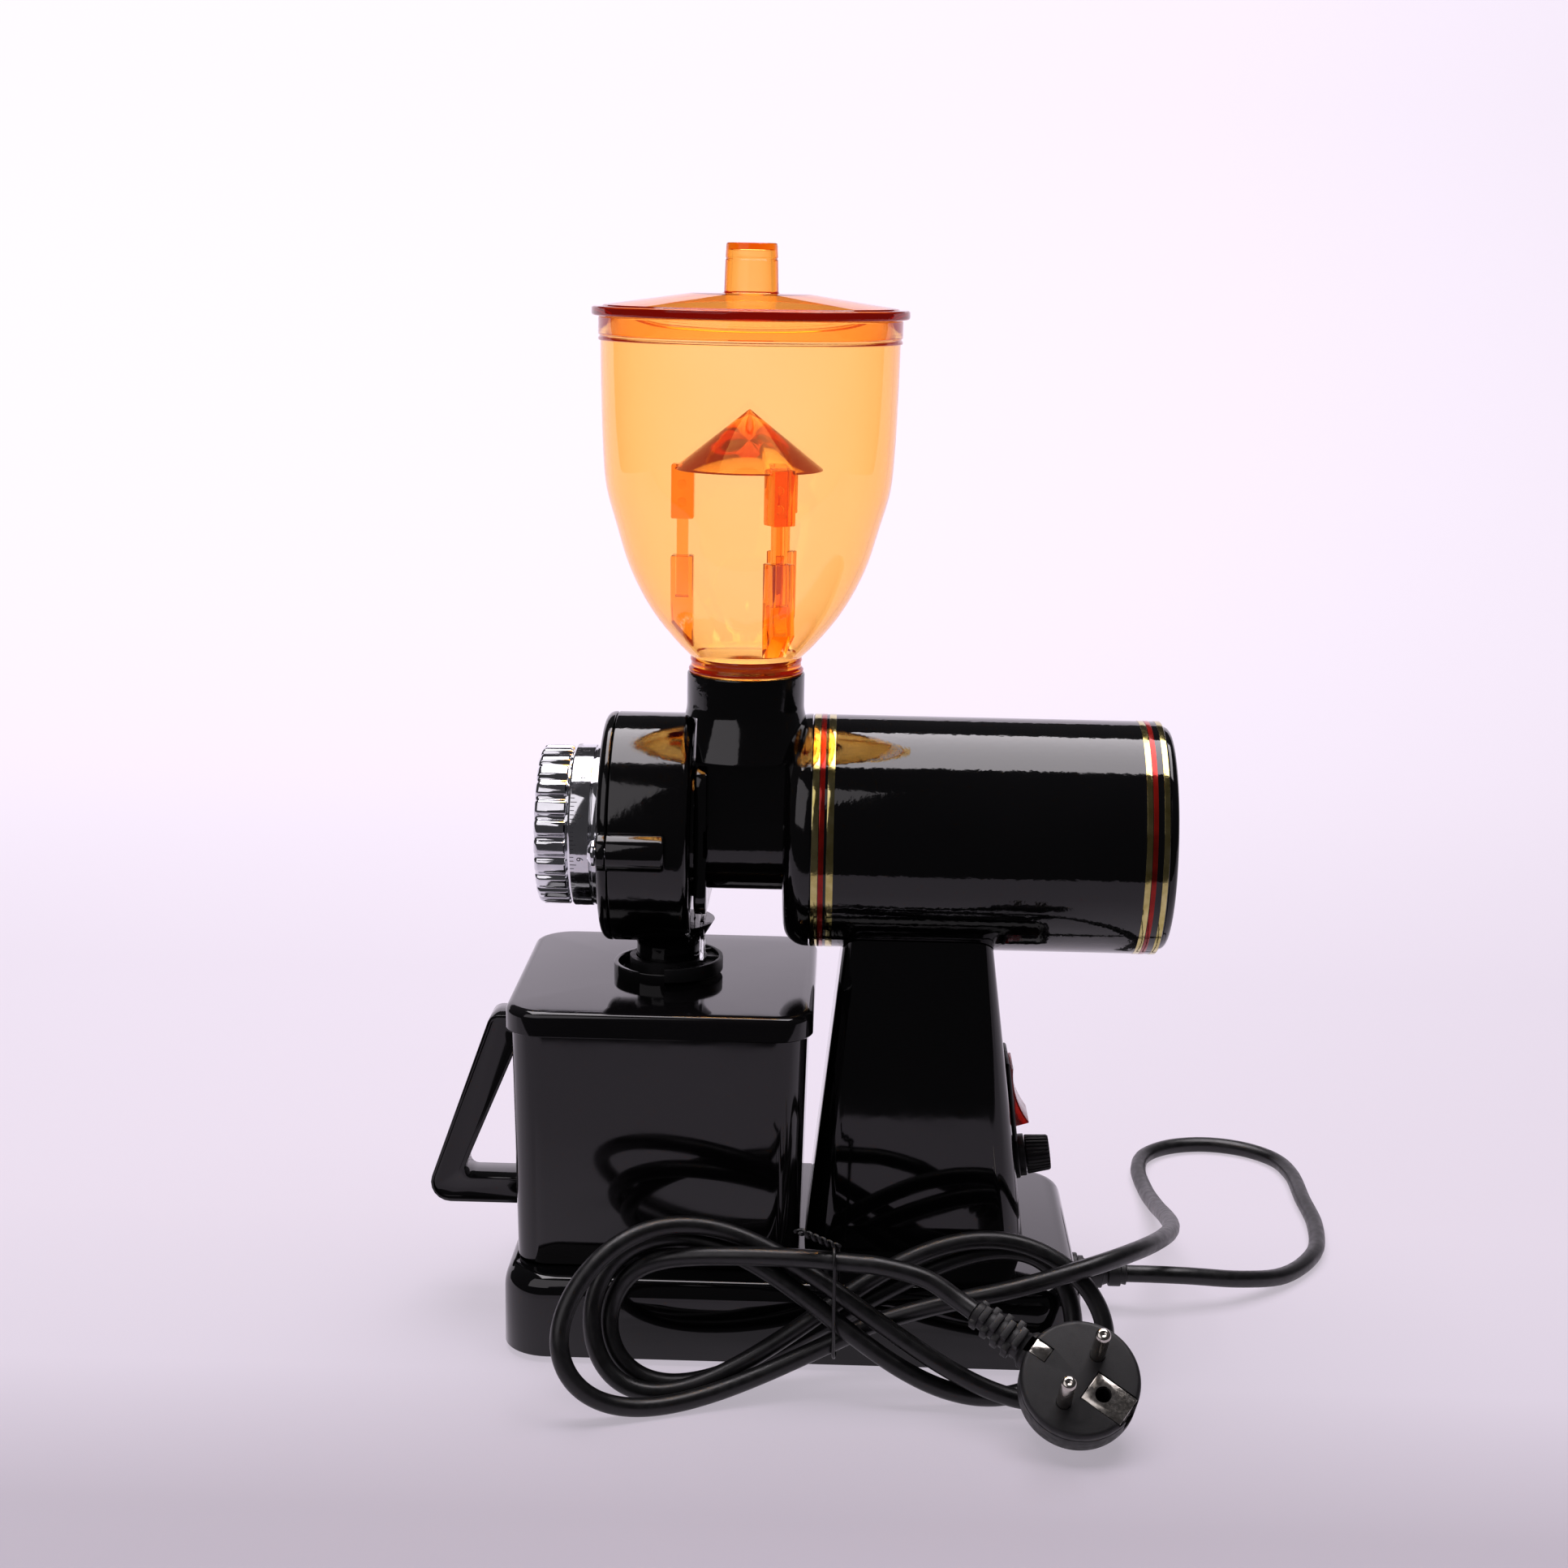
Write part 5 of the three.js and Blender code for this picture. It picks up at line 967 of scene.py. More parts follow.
# ---- neck casting: flange, auger barrel, hopper neck and the motor's front bell ----
castingValues = {
    "neckRadius": 20,
    "neckTop": 54.9,
    "barrel": 21,
    "bell": (14.3, 23.2, 40, 8),
    "flange": (-15.7, -11.5, 26, 8),
    "flare": (26, 27.3, 41.3),
    "tie": (6, 4, 22),
}
bellFront, bellEnd, bellRadius, bellRound = castingValues["bell"]
neckCasting = onAxis(
    turned(
        "neckCasting",
        filleted(
            [
                (0, bellFront),
                (bellRadius, bellFront, bellRound),
                (bellRadius, bellEnd),
                (37.7, bellEnd),
                (37.7, bellEnd + 4),
                (0, bellEnd + 4),
            ],
            10,
        ),
        160,
    )
)
barrel = onAxis(rod("barrel", castingValues["barrel"], -14.7, bellFront + 4, steps=96))
flangeFront, flangeRear, flangeHalf, flangeCorner = castingValues["flange"]
flangePlate = block("flange", (flangeFront, -flangeHalf, -flangeHalf), (flangeRear, flangeHalf, flangeHalf))
edit(flangePlate)
choose(flangePlate, "edges", lambda spot, way: abs(way.x) > 0.9)
bpy.ops.mesh.bevel(offset=flangeCorner * mm, segments=8, affect="EDGES")
choose(flangePlate, "edges", lambda spot, way: abs(way.x) < 0.1)
bpy.ops.mesh.bevel(offset=0.8 * mm, segments=2, affect="EDGES")
leave()
place(flangePlate, axisSpot)
flareRadius, flareFoot, flareTop = castingValues["flare"]
neckTube = turned(
    "neckTube",
    filleted(
        [
            (0, 0),
            (flareRadius, 0),
            (flareRadius, flareFoot, 2),
            (castingValues["neckRadius"], flareTop, 14),
            (castingValues["neckRadius"], castingValues["neckTop"], 0.8),
            (0, castingValues["neckTop"]),
        ],
        8,
    ),
    128,
)
place(neckTube, axisSpot)
drumRoom = place(block("drumRoom", (-80, -41, -1), (flangeFront, 41, 40.5)), axisSpot)
flareSides = [
    place(block("flareSide", (-30, side * 24 - 4, -1), (30, side * 24 + 4, 27)), axisSpot) for side in (-1, 1)
]
carve(neckTube, drumRoom, *flareSides)
ties = []
for side in (-1, 1):
    radius, stem, reach = castingValues["tie"]
    tie = turned(
        "tieBoss",
        filleted(
            [
                (0, -12.5),
                (radius, -12.5),
                (radius, -0.6, 1.2),
                (stem + 0.6, 0.4, 0.8),
                (stem, 2, 0.6),
                (stem, 12, 0.6),
                (stem + 0.8, 16),
                (0, 16),
            ]
        ),
        48,
    )
    place(tie, axisSpot + Vector((0, side * reach * mm, 0)), alongX)
    ties.append(tie)
unite(neckCasting, barrel, flangePlate, neckTube, *ties)
throat = place(
    turned("throat", [(0, 0), (14, 0), (14, 38), (17.6, 41.9), (17.6, 56), (0, 56)], 96), axisSpot
)
chamber = onAxis(rod("chamber", 14, -18, bellFront, steps=96))
shaftRoom = onAxis(turned("shaftRoom", [(0, 13.3), (5.6, 13.3), (5.6, 17.3), (13.3, 17.3), (13.3, 29), (0, 29)], 96))
bellRoom = onAxis(
    turned(
        "bellRoom", [(16.3, 18.3), (30, 18.3), (35.7, bellEnd), (35.7, 29), (16.3, 29), (16.3, 18.3)], 128
    )
)
carve(neckCasting, throat, chamber, shaftRoom, bellRoom)
finishPiece(neckCasting, castEnamel, "machine", "black_casting", "neck_casting", angle=40)
print("neck casting done")

# ---- motor shell, its foil bands and the rear cap ----
motorValues = {
    "radius": 40,
    "start": 23.5,
    "end": 141.7,
    "capEnd": 144.9,
    "capRadius": 38.4,
    "capRound": 2.5,
    "bands": [
        ("gold", 23.9, 26.1),
        ("red", 26.3, 28),
        ("gold", 28.9, 31.2),
        ("gold", 133.9, 135.8),
        ("red", 136, 137.6),
        ("gold", 139.6, 141.4),
    ],
}
motorShell = onAxis(
    turned(
        "motorShell",
        filleted(
            [
                (38, motorValues["start"]),
                (40, motorValues["start"], 0.4),
                (40, motorValues["end"], 0.4),
                (38, motorValues["end"]),
                (38, motorValues["start"]),
            ]
        ),
        192,
    )
)
finishPiece(motorShell, glossEnamel, "machine", "black_steel", "motor_shell", angle=40)
for number, (kind, start, end) in enumerate(motorValues["bands"]):
    band = onAxis(
        turned(
            kind + "Band" + str(number + 1),
            filleted(
                [(40.005, start), (40.09, start, 0.03), (40.09, end, 0.03), (40.005, end), (40.005, start)], 3
            ),
            192,
        )
    )
    finishPiece(band, goldFoil if kind == "gold" else redFoil, "machine", "chrome_trim")
rearCap = onAxis(
    turned(
        "rearCap",
        filleted(
            [
                (0, 141.7),
                (13.3, 141.7),
                (13.3, 133.7),
                (16.3, 133.7),
                (16.3, 142),
                (35.7, 142),
                (35.7, 137.7),
                (37.7, 137.7),
                (37.7, 142),
                (motorValues["capRadius"], 142, 0.3),
                (motorValues["capRadius"], motorValues["capEnd"], motorValues["capRound"]),
                (13.5, motorValues["capEnd"], 0.8),
                (12.5, motorValues["capEnd"] - 1.2, 0.8),
                (0, motorValues["capEnd"] - 1.2),
            ],
            8,
        ),
        160,
    )
)
slots = []
for row in range(4):
    y = (row - 1.5) * 8.4
    near = math.sqrt(max(18.3**2 - y**2, 0))
    far = math.sqrt(31.5**2 - y**2)
    for side in (-1, 1):
        low, high = sorted((side * near, side * far))
        slots.append(place(block("slot", (141, y - 2, low), (147, y + 2, high), 1.4, 4), axisSpot))
carve(rearCap, *slots)
finishPiece(rearCap, glossEnamel, "machine", "black_steel", "rear_cap", angle=40)
print("motor done")

# ---- grinding drum, with its chute and screw bosses ----
drumValues = {
    "radius": 39.5,
    "front": -43.6,
    "rear": -16.7,
    "wall": 3.5,
    "chute": (25.7, 11, 9.4, 121.6),
    "boss": (6.5, 39.2, 19.4),
    "screwReach": 41.2,
}
drumRadius, drumFront, drumRear = drumValues["radius"], drumValues["front"], drumValues["rear"]
grindingDrum = onAxis(
    turned(
        "grindingDrum",
        filleted(
            [
                (14.3, -19.7),
                (36, -19.7),
                (36, drumFront),
                (drumRadius, drumFront, 0.5),
                (drumRadius, drumRear, 3.5),
                (24, drumRear),
                (24, drumRear + 0.7),
                (14.3, drumRear + 0.7),
                (14.3, -19.7),
            ],
            7,
        ),
        176,
    )
)
chuteReach, chuteRadius, chuteBore, chuteEnd = drumValues["chute"]
chute = turned(
    "chute",
    filleted(
        [
            (0, chuteEnd),
            (chuteRadius, chuteEnd, 0.5),
            (chuteRadius, 132, 3),
            (chuteRadius + 3.2, 137, 4),
            (chuteRadius + 5, 140),
            (0, 140),
        ]
    ),
    96,
)
place(chute, Vector((-(chuteReach + originShift) * mm, 0, 0)))
bossRadius, bossReach, bossLength = drumValues["boss"]
bosses = []
for side in (-1, 1):
    boss = turned(
        "boss",
        filleted(
            [
                (0, drumFront),
                (bossRadius, drumFront, 0.4),
                (bossRadius, drumFront + bossLength, 1.6),
                (0, drumFront + bossLength),
            ]
        ),
        64,
    )
    bosses.append(place(boss, axisSpot + Vector((0, side * bossReach * mm, 0)), alongX))
unite(grindingDrum, chute, *bosses)
inside = onAxis(rod("inside", 36, drumFront - 2, -19.7, steps=176))
chuteHole = rod("chuteHole", chuteBore, 118, 150, (-(chuteReach + originShift), 0))
screwHoles = [
    place(rod("screwHole", 2.3, drumFront - 1, drumFront + 18), axisSpot + Vector((0, side * 41.2 * mm, 0)), alongX)
    for side in (-1, 1)
]
carve(grindingDrum, inside, chuteHole, *screwHoles)
finishPiece(grindingDrum, castEnamel, "machine", "black_casting", "grinding_drum", angle=40)

# ---- cover, with its hub, ears and screws ----
coverValues = {"rear": -43.9, "front": -47.6, "round": 3, "hub": 19, "hubEnd": -62, "ear": (6.5, 3)}
coverRear, coverFront, hubEnd = coverValues["rear"], coverValues["front"], coverValues["hubEnd"]
chamberCover = onAxis(
    turned(
        "chamberCover",
        filleted(
            [
                (12.3, coverRear),
                (drumRadius, coverRear, 0.5),
                (drumRadius, coverFront, coverValues["round"]),
                (coverValues["hub"], coverFront),
                (coverValues["hub"], hubEnd, 0.5),
                (12.3, hubEnd),
                (12.3, coverRear),
            ],
            9,
        ),
        176,
    )
)
ears = []
for side in (-1, 1):
    ear = turned(
        "ear",
        filleted([(0, coverRear), (6.5, coverRear, 0.4), (6.5, coverRear - 3, 0.8), (0, coverRear - 3)]),
        64,
    )
    ears.append(place(ear, axisSpot + Vector((0, side * bossReach * mm, 0)), alongX))
unite(chamberCover, *ears)
cuts = []
for side in (-1, 1):
    spot = axisSpot + Vector((0, side * drumValues["screwReach"] * mm, 0))
    cuts.append(place(rod("screwHole", 2.3, -52, -42), spot, alongX))
    cuts.append(place(rod("headRoom", 4.6, -52, coverRear - 3), spot, alongX))
cuts.append(place(block("keyway", (-63, -2.3, 0), (-42, 2.3, 13.8)), axisSpot))
carve(chamberCover, *cuts)
finishPiece(chamberCover, castEnamel, "machine", "black_casting", "chamber_cover", angle=40)
for name, node, side in (("coverScrewNear", "cover_screw_near", -1), ("coverScrewFar", "cover_screw_far", 1)):
    seat = coverRear - 3.3
    screw = turned(
        name,
        filleted(
            [
                (0, seat - 2.6),
                (2.6, seat - 2.4, 1.4),
                (4.3, seat - 1.1, 1),
                (4.3, seat, 0.2),
                (2, seat),
                (2, drumFront + 16.6, 0.4),
                (0, drumFront + 17),
            ]
        ),
        64,
    )
    for turn in (0, math.pi / 2):
        slot = block("slot", (-2.6, -0.5, seat - 4), (2.6, 0.5, seat - 1.3), 0.2, 2)
        carve(screw, place(slot, Vector(), Matrix.Rotation(turn + 0.5, 3, "Z")))
    place(screw, axisSpot + Vector((0, side * drumValues["screwReach"] * mm, 0)), alongX)
    finishPiece(screw, brightChrome, "machine", "chrome_trim", node)

# ---- adjusting dial: fluted grip, graduated skirt, ticks and numbers filled with ink ----
dialValues = {
    "rear": -47.9,
    "skirtEnd": -58.5,
    "front": -69.5,
    "skirtRadius": 27.8,
    "gripRadius": 27.4,
    "flutes": 24,
    "fluteDepth": 1.35,
    "ticks": 120,
    "numbers": 12,
    "numberSize": 3.3,
    "numberPlace": -53.9,
}
fluteShares = [
    (0, 0.5),
    (0.05, 0.16),
    (0.11, 0.04),
    (0.2, 0),
    (0.34, 0),
    (0.48, 0),
    (0.57, 0.04),
    (0.63, 0.16),
    (0.68, 0.5),
    (0.72, 0.86),
    (0.77, 1),
    (0.84, 1.04),
    (0.91, 1),
    (0.96, 0.86),
]
gripRadius, dialFront, skirtEnd = dialValues["gripRadius"], dialValues["front"], dialValues["skirtEnd"]
flutes = starOutline(gripRadius, dialValues["fluteDepth"], dialValues["flutes"], fluteShares)
dialGrip = prism(
    "adjustingDial",
    flutes,
    [
        (dialFront, 0.945),
        (dialFront + 0.35, 0.972),
        (dialFront + 0.8, 0.989),
        (dialFront + 1.5, 1),
        (skirtEnd - 0.9, 1),
        (skirtEnd - 0.4, 0.988),
        (skirtEnd - 0.1, 0.955),
    ],
)
onAxis(dialGrip)
dialSkirt = onAxis(
    turned(
        "dialSkirt",
        filleted(
            [
                (0, skirtEnd - 0.6),
                (25.8, skirtEnd - 0.6),
                (26, skirtEnd + 0.4, 0.2),
                (27.2, skirtEnd + 0.4, 0.3),
                (27.8, skirtEnd + 1.2, 0.3),
                (27.8, -50.9, 0.2),
                (27.1, -50.7, 0.15),
                (27.1, -50.3, 0.15),
                (27.6, -50.1, 0.2),
                (27.6, dialValues["rear"], 0.3),
                (0, dialValues["rear"]),
            ],
            3,
        ),
        192,
    )
)
unite(dialGrip, dialSkirt)
hubRoom = onAxis(rod("hubRoom", 19.3, -62.3, -46, steps=128))
faceRoom = onAxis(
    turned("faceRoom", filleted([(0, -72), (23.4, -72), (23, -68.7, 0.5), (9, -68.7, 0.3), (9, -69.2), (0, -69.2)]), 128)
)
carve(dialGrip, hubRoom, faceRoom)
finishPiece(dialGrip, brightChrome, "dial", "chrome_trim", "adjusting_dial", angle=32)
marks = []
skirtReach = dialValues["skirtRadius"]
for i in range(dialValues["ticks"]):
    long = i % 5 == 0
    mark = block(
        "dialMarks",
        (skirtEnd + 1.25, -0.13, skirtReach - 0.2),
        (skirtEnd + (3.4 if long else 2.6), 0.13, skirtReach + 0.012),
    )
    marks.append(
        place(mark, axisSpot, Matrix.Rotation(2 * math.pi * (i + 0.5) / dialValues["ticks"], 3, "X"))
    )
for i in range(dialValues["numbers"]):
    bpy.ops.object.text_add(location=(0, 0, 0))
    number = bpy.context.object
    number.data.body = str(i)
    number.data.size = dialValues["numberSize"] * mm
    number.data.align_x = "CENTER"
    number.data.align_y = "CENTER"
    number.data.extrude = 0.06 * mm
    only(number)
    bpy.ops.object.convert(target="MESH")
    number = bpy.context.object
    # its foot towards the grip, then out to the skirt's round
    turnOver = Matrix.Rotation(-math.pi / 2, 3, "Z")
    place(number, Vector((dialValues["numberPlace"] * mm, 0, (skirtReach - 0.05) * mm)), turnOver)
    turn = Matrix.Rotation(math.radians(-78 + 30 * i), 3, "X")
    marks.append(place(number, axisSpot, turn))
dialMarks = joinAll(marks[0], *marks[1:])
dialMarks.name = "dialMarks"
finishPiece(dialMarks, dialInk, "dial", "chrome_trim")
print("drum and dial done")

# ---- collar round the chute and the clear strip standing on it ----
collarValues = {"foot": 121.9, "top": 126.9, "hub": 13.6, "radius": 19, "wall": 1.6, "floor": 1.6, "ribs": 5}
collarSpot = Vector((-(chuteReach + originShift) * mm, 0, 0))
chuteCollar = turned(
    "chuteCollar",
    filleted(
        [
            (11.3, collarValues["foot"]),
            (19, collarValues["foot"], 0.4),
            (19, collarValues["top"], 0.4),
            (17.6, collarValues["top"], 0.3),
            (17.6, collarValues["foot"] + 3.6),
            (13.4, collarValues["foot"] + 3.6),
            (13.4, collarValues["top"], 0.3),
            (11.3, collarValues["top"], 0.3),
            (11.3, collarValues["foot"]),
        ],
        3,
    ),
    128,
)
keepRear = block("keepRear", (-25, -25, 118), (0, 25, 130))
hubOnly = turned("hubOnly", [(11.3, 121.9), (13.4, 121.9), (13.4, 126.9), (11.3, 126.9), (11.3, 121.9)], 128)
carve(chuteCollar, keepRear)
unite(chuteCollar, hubOnly)
ribPieces = []
for i in range(collarValues["ribs"]):
    rib = block("rib", (12.8, -0.5, 124.5), (18.2, 0.5, 126.6), 0.2, 2)
    turn = Matrix.Rotation(((i + 0.5) / collarValues["ribs"] - 0.5) * math.pi, 3, "Z")
    ribPieces.append(place(rib, Vector(), turn))
unite(chuteCollar, *ribPieces)
place(chuteCollar, collarSpot)
finishPiece(chuteCollar, erodedAbs, "machine", "matt_plastic", "chute_collar", angle=40)
clearStrip = block("clearStrip", (11.3, -8, 127.2), (12.7, 8, 141.2), 0.35, 3)
place(clearStrip, collarSpot)
finishPiece(clearStrip, clearVinyl, "machine", "clear_plastic", "clear_strip")

# ---- canister, its lid and its loop handle ----
canisterValues = {
    "foot": 30.3,
    "top": 117.7,
    "footHalf": 48,
    "topHalf": 49.75,
    "corner": 11,
    "wall": 2.5,
    "lid": (112, 120.5, 51.5, 2.5),
    "lidHole": 12,
    "rim": (19, 17.4, 124.8),
}


def canisterLevel(height, inset):
    share = (height - canisterValues["foot"]) / (canisterValues["top"] - canisterValues["foot"])
    half = canisterValues["footHalf"] + (canisterValues["topHalf"] - canisterValues["footHalf"]) * share - inset
    return height, -chuteReach - half, -chuteReach + half, half


canisterBody = lofted(
    "canisterBody",
    [
        canisterLevel(30.3, 0.9),
        canisterLevel(30.6, 0.3),
        canisterLevel(31.2, 0),
        canisterLevel(117.2, 0),
        canisterLevel(117.7, 0.4),
        canisterLevel(117.7, 2.1),
        canisterLevel(117.2, 2.5),
        canisterLevel(34, 2.5),
        canisterLevel(32.8, 3.5),
    ],
    canisterValues["corner"],
    12,
)
finishPiece(canisterBody, polishedAbs, "canister", "gloss_plastic", "canister_body", angle=30)


def lidLevel(height, inset):
    half = canisterValues["lid"][2] - inset
    return height, -chuteReach - half, -chuteReach + half, half


lidFoot, lidTop, lidHalf, lidRound = canisterValues["lid"]
lidLevels = [lidLevel(lidFoot, 0.35), lidLevel(lidFoot + 0.35, 0)]
for step in range(7):
    angle = math.pi / 2 * step / 6
    lidLevels.append(
        lidLevel(lidTop - lidRound * (1 - math.sin(angle)), lidRound * (1 - math.cos(angle)))
    )
canisterLid = lofted("canisterLid", lidLevels, canisterValues["corner"] + 1.75, 12)
lidRoom = lofted("lidRoom", [lidLevel(110, 1.45), lidLevel(118, 1.45)], 11.3, 12)
lidRim = turned(
    "lidRim",
    filleted([(17.4, 119), (19, 119), (19, 124.8, 0.35), (17.4, 124.8, 0.35), (17.4, 119)], 3),
    128,
)
carve(lidRim, block("rimRoom", (0, -25, 110), (25, 25, 130)))
place(lidRim, collarSpot)
carve(canisterLid, lidRoom)
unite(canisterLid, lidRim)
carve(canisterLid, place(rod("lidHole", 12, 100, 130, steps=96), collarSpot))
finishPiece(canisterLid, polishedAbs, "canister", "gloss_plastic", "canister_lid", angle=30)

handleValues = {
    "width": 14.8,
    "left": -86.25,
    "topLeft": -61.75,
    "foot": 5.5,
    "top": 75,
    "round": 7,
    "bar": 9.5,
    "slant": 1.32,
    "pocket": 1.5,
    "rim": 1.6,
}


def rounded(corners, steps=6):
    # a closed outline of (x, z, radius) corners
    ring = [corners[-1], *corners, corners[0]]
    points = []
    for i in range(1, len(ring) - 1):
        points += filleted([ring[i - 1], ring[i], ring[i + 1]], steps)[1:-1]
    return points


def handleOuter(margin):
    left = handleValues["left"] + margin
    topLeft = handleValues["topLeft"] + margin * 0.6
    foot, top = handleValues["foot"] + margin, handleValues["top"] - margin
    return rounded(
        [(-44, foot, 0.01), (left, foot, 7 - margin), (topLeft, top, 4 - margin), (-44, top, 0.01)]
    )


def handleInner(margin):
    bar = handleValues["bar"] - margin
    foot = handleValues["foot"] + bar
    top = handleValues["top"] - bar * handleValues["slant"]
    left = handleValues["left"] + bar * handleValues["slant"]
    topLeft = -52.95 - margin
    return rounded([(-44, foot, 0.01), (left + 1, foot, 3), (topLeft, top, 3), (-44, top, 0.01)])


def sideCut(name, outline, low, high):
    # an outline in x and z, as deep in y as from low to high
    piece = prism(name, outline, [(-high, 1), (-low, 1)])
    return place(piece, Vector(), Matrix.Rotation(math.pi / 2, 3, "X"))


half = handleValues["width"] / 2
canisterHandle = sideCut("canisterHandle", handleOuter(0), -half, half)
carve(canisterHandle, sideCut("opening", handleInner(0), -half - 2, half + 2))
for low, high in ((-half - 1, -half + 1.5), (half - 1.5, half + 1)):
    pocket = sideCut("pocket", handleOuter(1.6), low, high)
    carve(pocket, sideCut("keep", handleInner(1.6), low - 1, high + 1))
    carve(canisterHandle, pocket)
place(canisterHandle, Vector((-(chuteReach + originShift) * mm, 0, canisterValues["foot"] * mm)))
wallRoom = lofted("wallRoom", [canisterLevel(28, -0.02), canisterLevel(120, -0.02)], 11)
carve(canisterHandle, wallRoom)
softEdges = canisterHandle.modifiers.new("softEdges", "BEVEL")
softEdges.width = 0.35 * mm
softEdges.segments = 2
softEdges.limit_method = "ANGLE"
softEdges.angle_limit = math.radians(50)
only(canisterHandle)
bpy.ops.object.modifier_apply(modifier="softEdges")
finishPiece(canisterHandle, polishedAbs, "canister", "gloss_plastic", "canister_handle", angle=32)
print("canister done")

# ---- hopper: blown bowl, bean guard and lid ----
hopperValues = {
    "height": 227.6,
    "bowlRadius": 49.7,
    "bowlHeight": 118.1,
    "wall": 2.2,
    "radiusShares": [0.378, 0.477, 0.652, 0.799, 0.887, 0.958, 0.982, 0.994, 1],
    "heightShares": [0.046, 0.088, 0.181, 0.3, 0.418, 0.528, 0.647, 0.8, 0.935],
    "rimFoot": 110.4,
    "throat": 18.8,
    "spigot": 17.2,
    "socket": (22, 8, 7.5, 13.5, 39.4),
    "guard": (25.5, 68.4, 20, 1.8),
    "legFoot": 51.9,
    "lid": (52.6, 118.4, 121.4, 126.1, 19.6),
    "knob": (9, 8.4, 142.4),
}
hopperSpot = Vector((-originShift * mm, 0, hopperValues["height"] * mm))
bowlKeys = [
    (share * hopperValues["bowlRadius"], height * hopperValues["bowlHeight"], 0)
    for share, height in zip(hopperValues["radiusShares"], hopperValues["heightShares"])
]
bowlOuter = [(point.x, point.y) for point in smoothRoute(bowlKeys, 5)]
bowlInner = []
for i, (radius, height) in enumerate(bowlOuter):
    before, after = bowlOuter[max(i - 1, 0)], bowlOuter[min(i + 1, len(bowlOuter) - 1)]
    run, climb = after[0] - before[0], after[1] - before[1]
    length = math.hypot(run, climb)
    bowlInner.append(
        (radius - hopperValues["wall"] * climb / length, height + hopperValues["wall"] * run / length)
    )
spigot, throatRadius, rimFoot = hopperValues["spigot"], hopperValues["throat"], hopperValues["rimFoot"]
rimProfile = filleted(
    [
        bowlOuter[-1],
        (50.4, rimFoot, 0.3),
        (50.4, 111.3, 0.2),
        (50, 111.6, 0.2),
        (50, 112.1, 0.2),
        (50.4, 112.4, 0.2),
        (50.4, hopperValues["bowlHeight"], 0.4),
        (48.4, hopperValues["bowlHeight"], 0.4),
        (48.4, rimFoot + 0.4, 0.8),
        bowlInner[-1],
    ],
    3,
)
footProfile = filleted(
    [
        (spigot - 2, 1.2),
        (spigot - 2, -13, 0.4),
        (spigot, -13, 0.4),
        (spigot, 0.3),
        (throatRadius + 0.7, 0.3, 0.3),
        (throatRadius + 0.7, 1.3, 0.5),
        (throatRadius - 0.1, 2.2, 0.4),
        (throatRadius - 0.1, 3.6, 0.4),
        (throatRadius + 0.2, 4.4, 0.4),
        bowlOuter[0],
    ],
    3,
)
hopperBowl = turned(
    "hopperBowl", footProfile[:-1] + bowlOuter[:-1] + rimProfile + bowlInner[::-1][1:] + footProfile[:1], 160
)
socketReach, socketWidth, socketDeep, socketFoot, socketTop = hopperValues["socket"]
guardTurns = [math.pi, math.pi / 3, -math.pi / 3]
socketRooms = []
for turn in guardTurns:
    about = Matrix.Rotation(turn, 3, "Z")
    socket = block(
        "socket",
        (socketReach - socketDeep / 2, -socketWidth / 2, socketFoot),
        (socketReach + socketDeep / 2, socketWidth / 2, socketTop),
        0.5,
        2,
    )
    edit(socket)
    choose(socket, "verts", lambda spot, way: spot.x < socketReach and spot.z < socketFoot + 1)
    bpy.ops.transform.translate(value=(0, 0, -5.5 * mm))  # the foot follows the bowl's slope
    leave()
    unite(hopperBowl, place(socket, Vector(), about))
    room = block("room", (socketReach - 2.2, -2.5, socketTop - 14), (socketReach + 2.2, 2.5, socketTop + 1))
    socketRooms.append(place(room, Vector(), about))
carve(hopperBowl, *socketRooms)
place(hopperBowl, hopperSpot)
finishPiece(hopperBowl, amberAcrylic, "hopper", "amber_plastic", "hopper_bowl", angle=40)

coneRadius, coneFoot, coneHeight, coneWall = hopperValues["guard"]
slant = coneWall * math.hypot(1, coneHeight / coneRadius)
beanGuard = turned(
    "beanGuard",
    filleted(
        [
            (0, coneFoot + coneHeight - slant),
            (coneRadius - slant * coneRadius / coneHeight, coneFoot, 0.2),
            (coneRadius, coneFoot, 0.3),
            (0.8, coneFoot + coneHeight - 0.5, 0.5),
            (0, coneFoot + coneHeight),
        ],
        3,
    ),
    128,
)
underCone = coneFoot + coneHeight * (coneRadius - socketReach) / coneRadius - slant / 2
for turn in guardTurns:
    about = Matrix.Rotation(turn, 3, "Z")
    leg = block("leg", (socketReach - 3.8, -4, hopperValues["legFoot"]), (socketReach + 3.8, 4, underCone), 0.5, 2)
    tongue = block("tongue", (socketReach - 1.9, -2.2, 25.7), (socketReach + 1.9, 2.2, 53), 0.3, 2)
    unite(beanGuard, place(leg, Vector(), about), place(tongue, Vector(), about))
    for height in (57.5, 63.5):
        # the two round bumps that the ejector pins left on each leg
        bump = turned("bump", filleted([(0, -2), (1.5, -2), (1.5, 0.7, 0.5), (0, 0.7)]), 32)
        foot = about @ Vector((socketReach * mm, 0, height * mm)) + Vector((0, -4 * mm, 0))
        unite(beanGuard, place(bump, foot, Matrix.Rotation(math.pi / 2, 3, "X")))
place(beanGuard, hopperSpot)
finishPiece(beanGuard, deepAcrylic, "hopper", "amber_plastic", "bean_guard", angle=35)

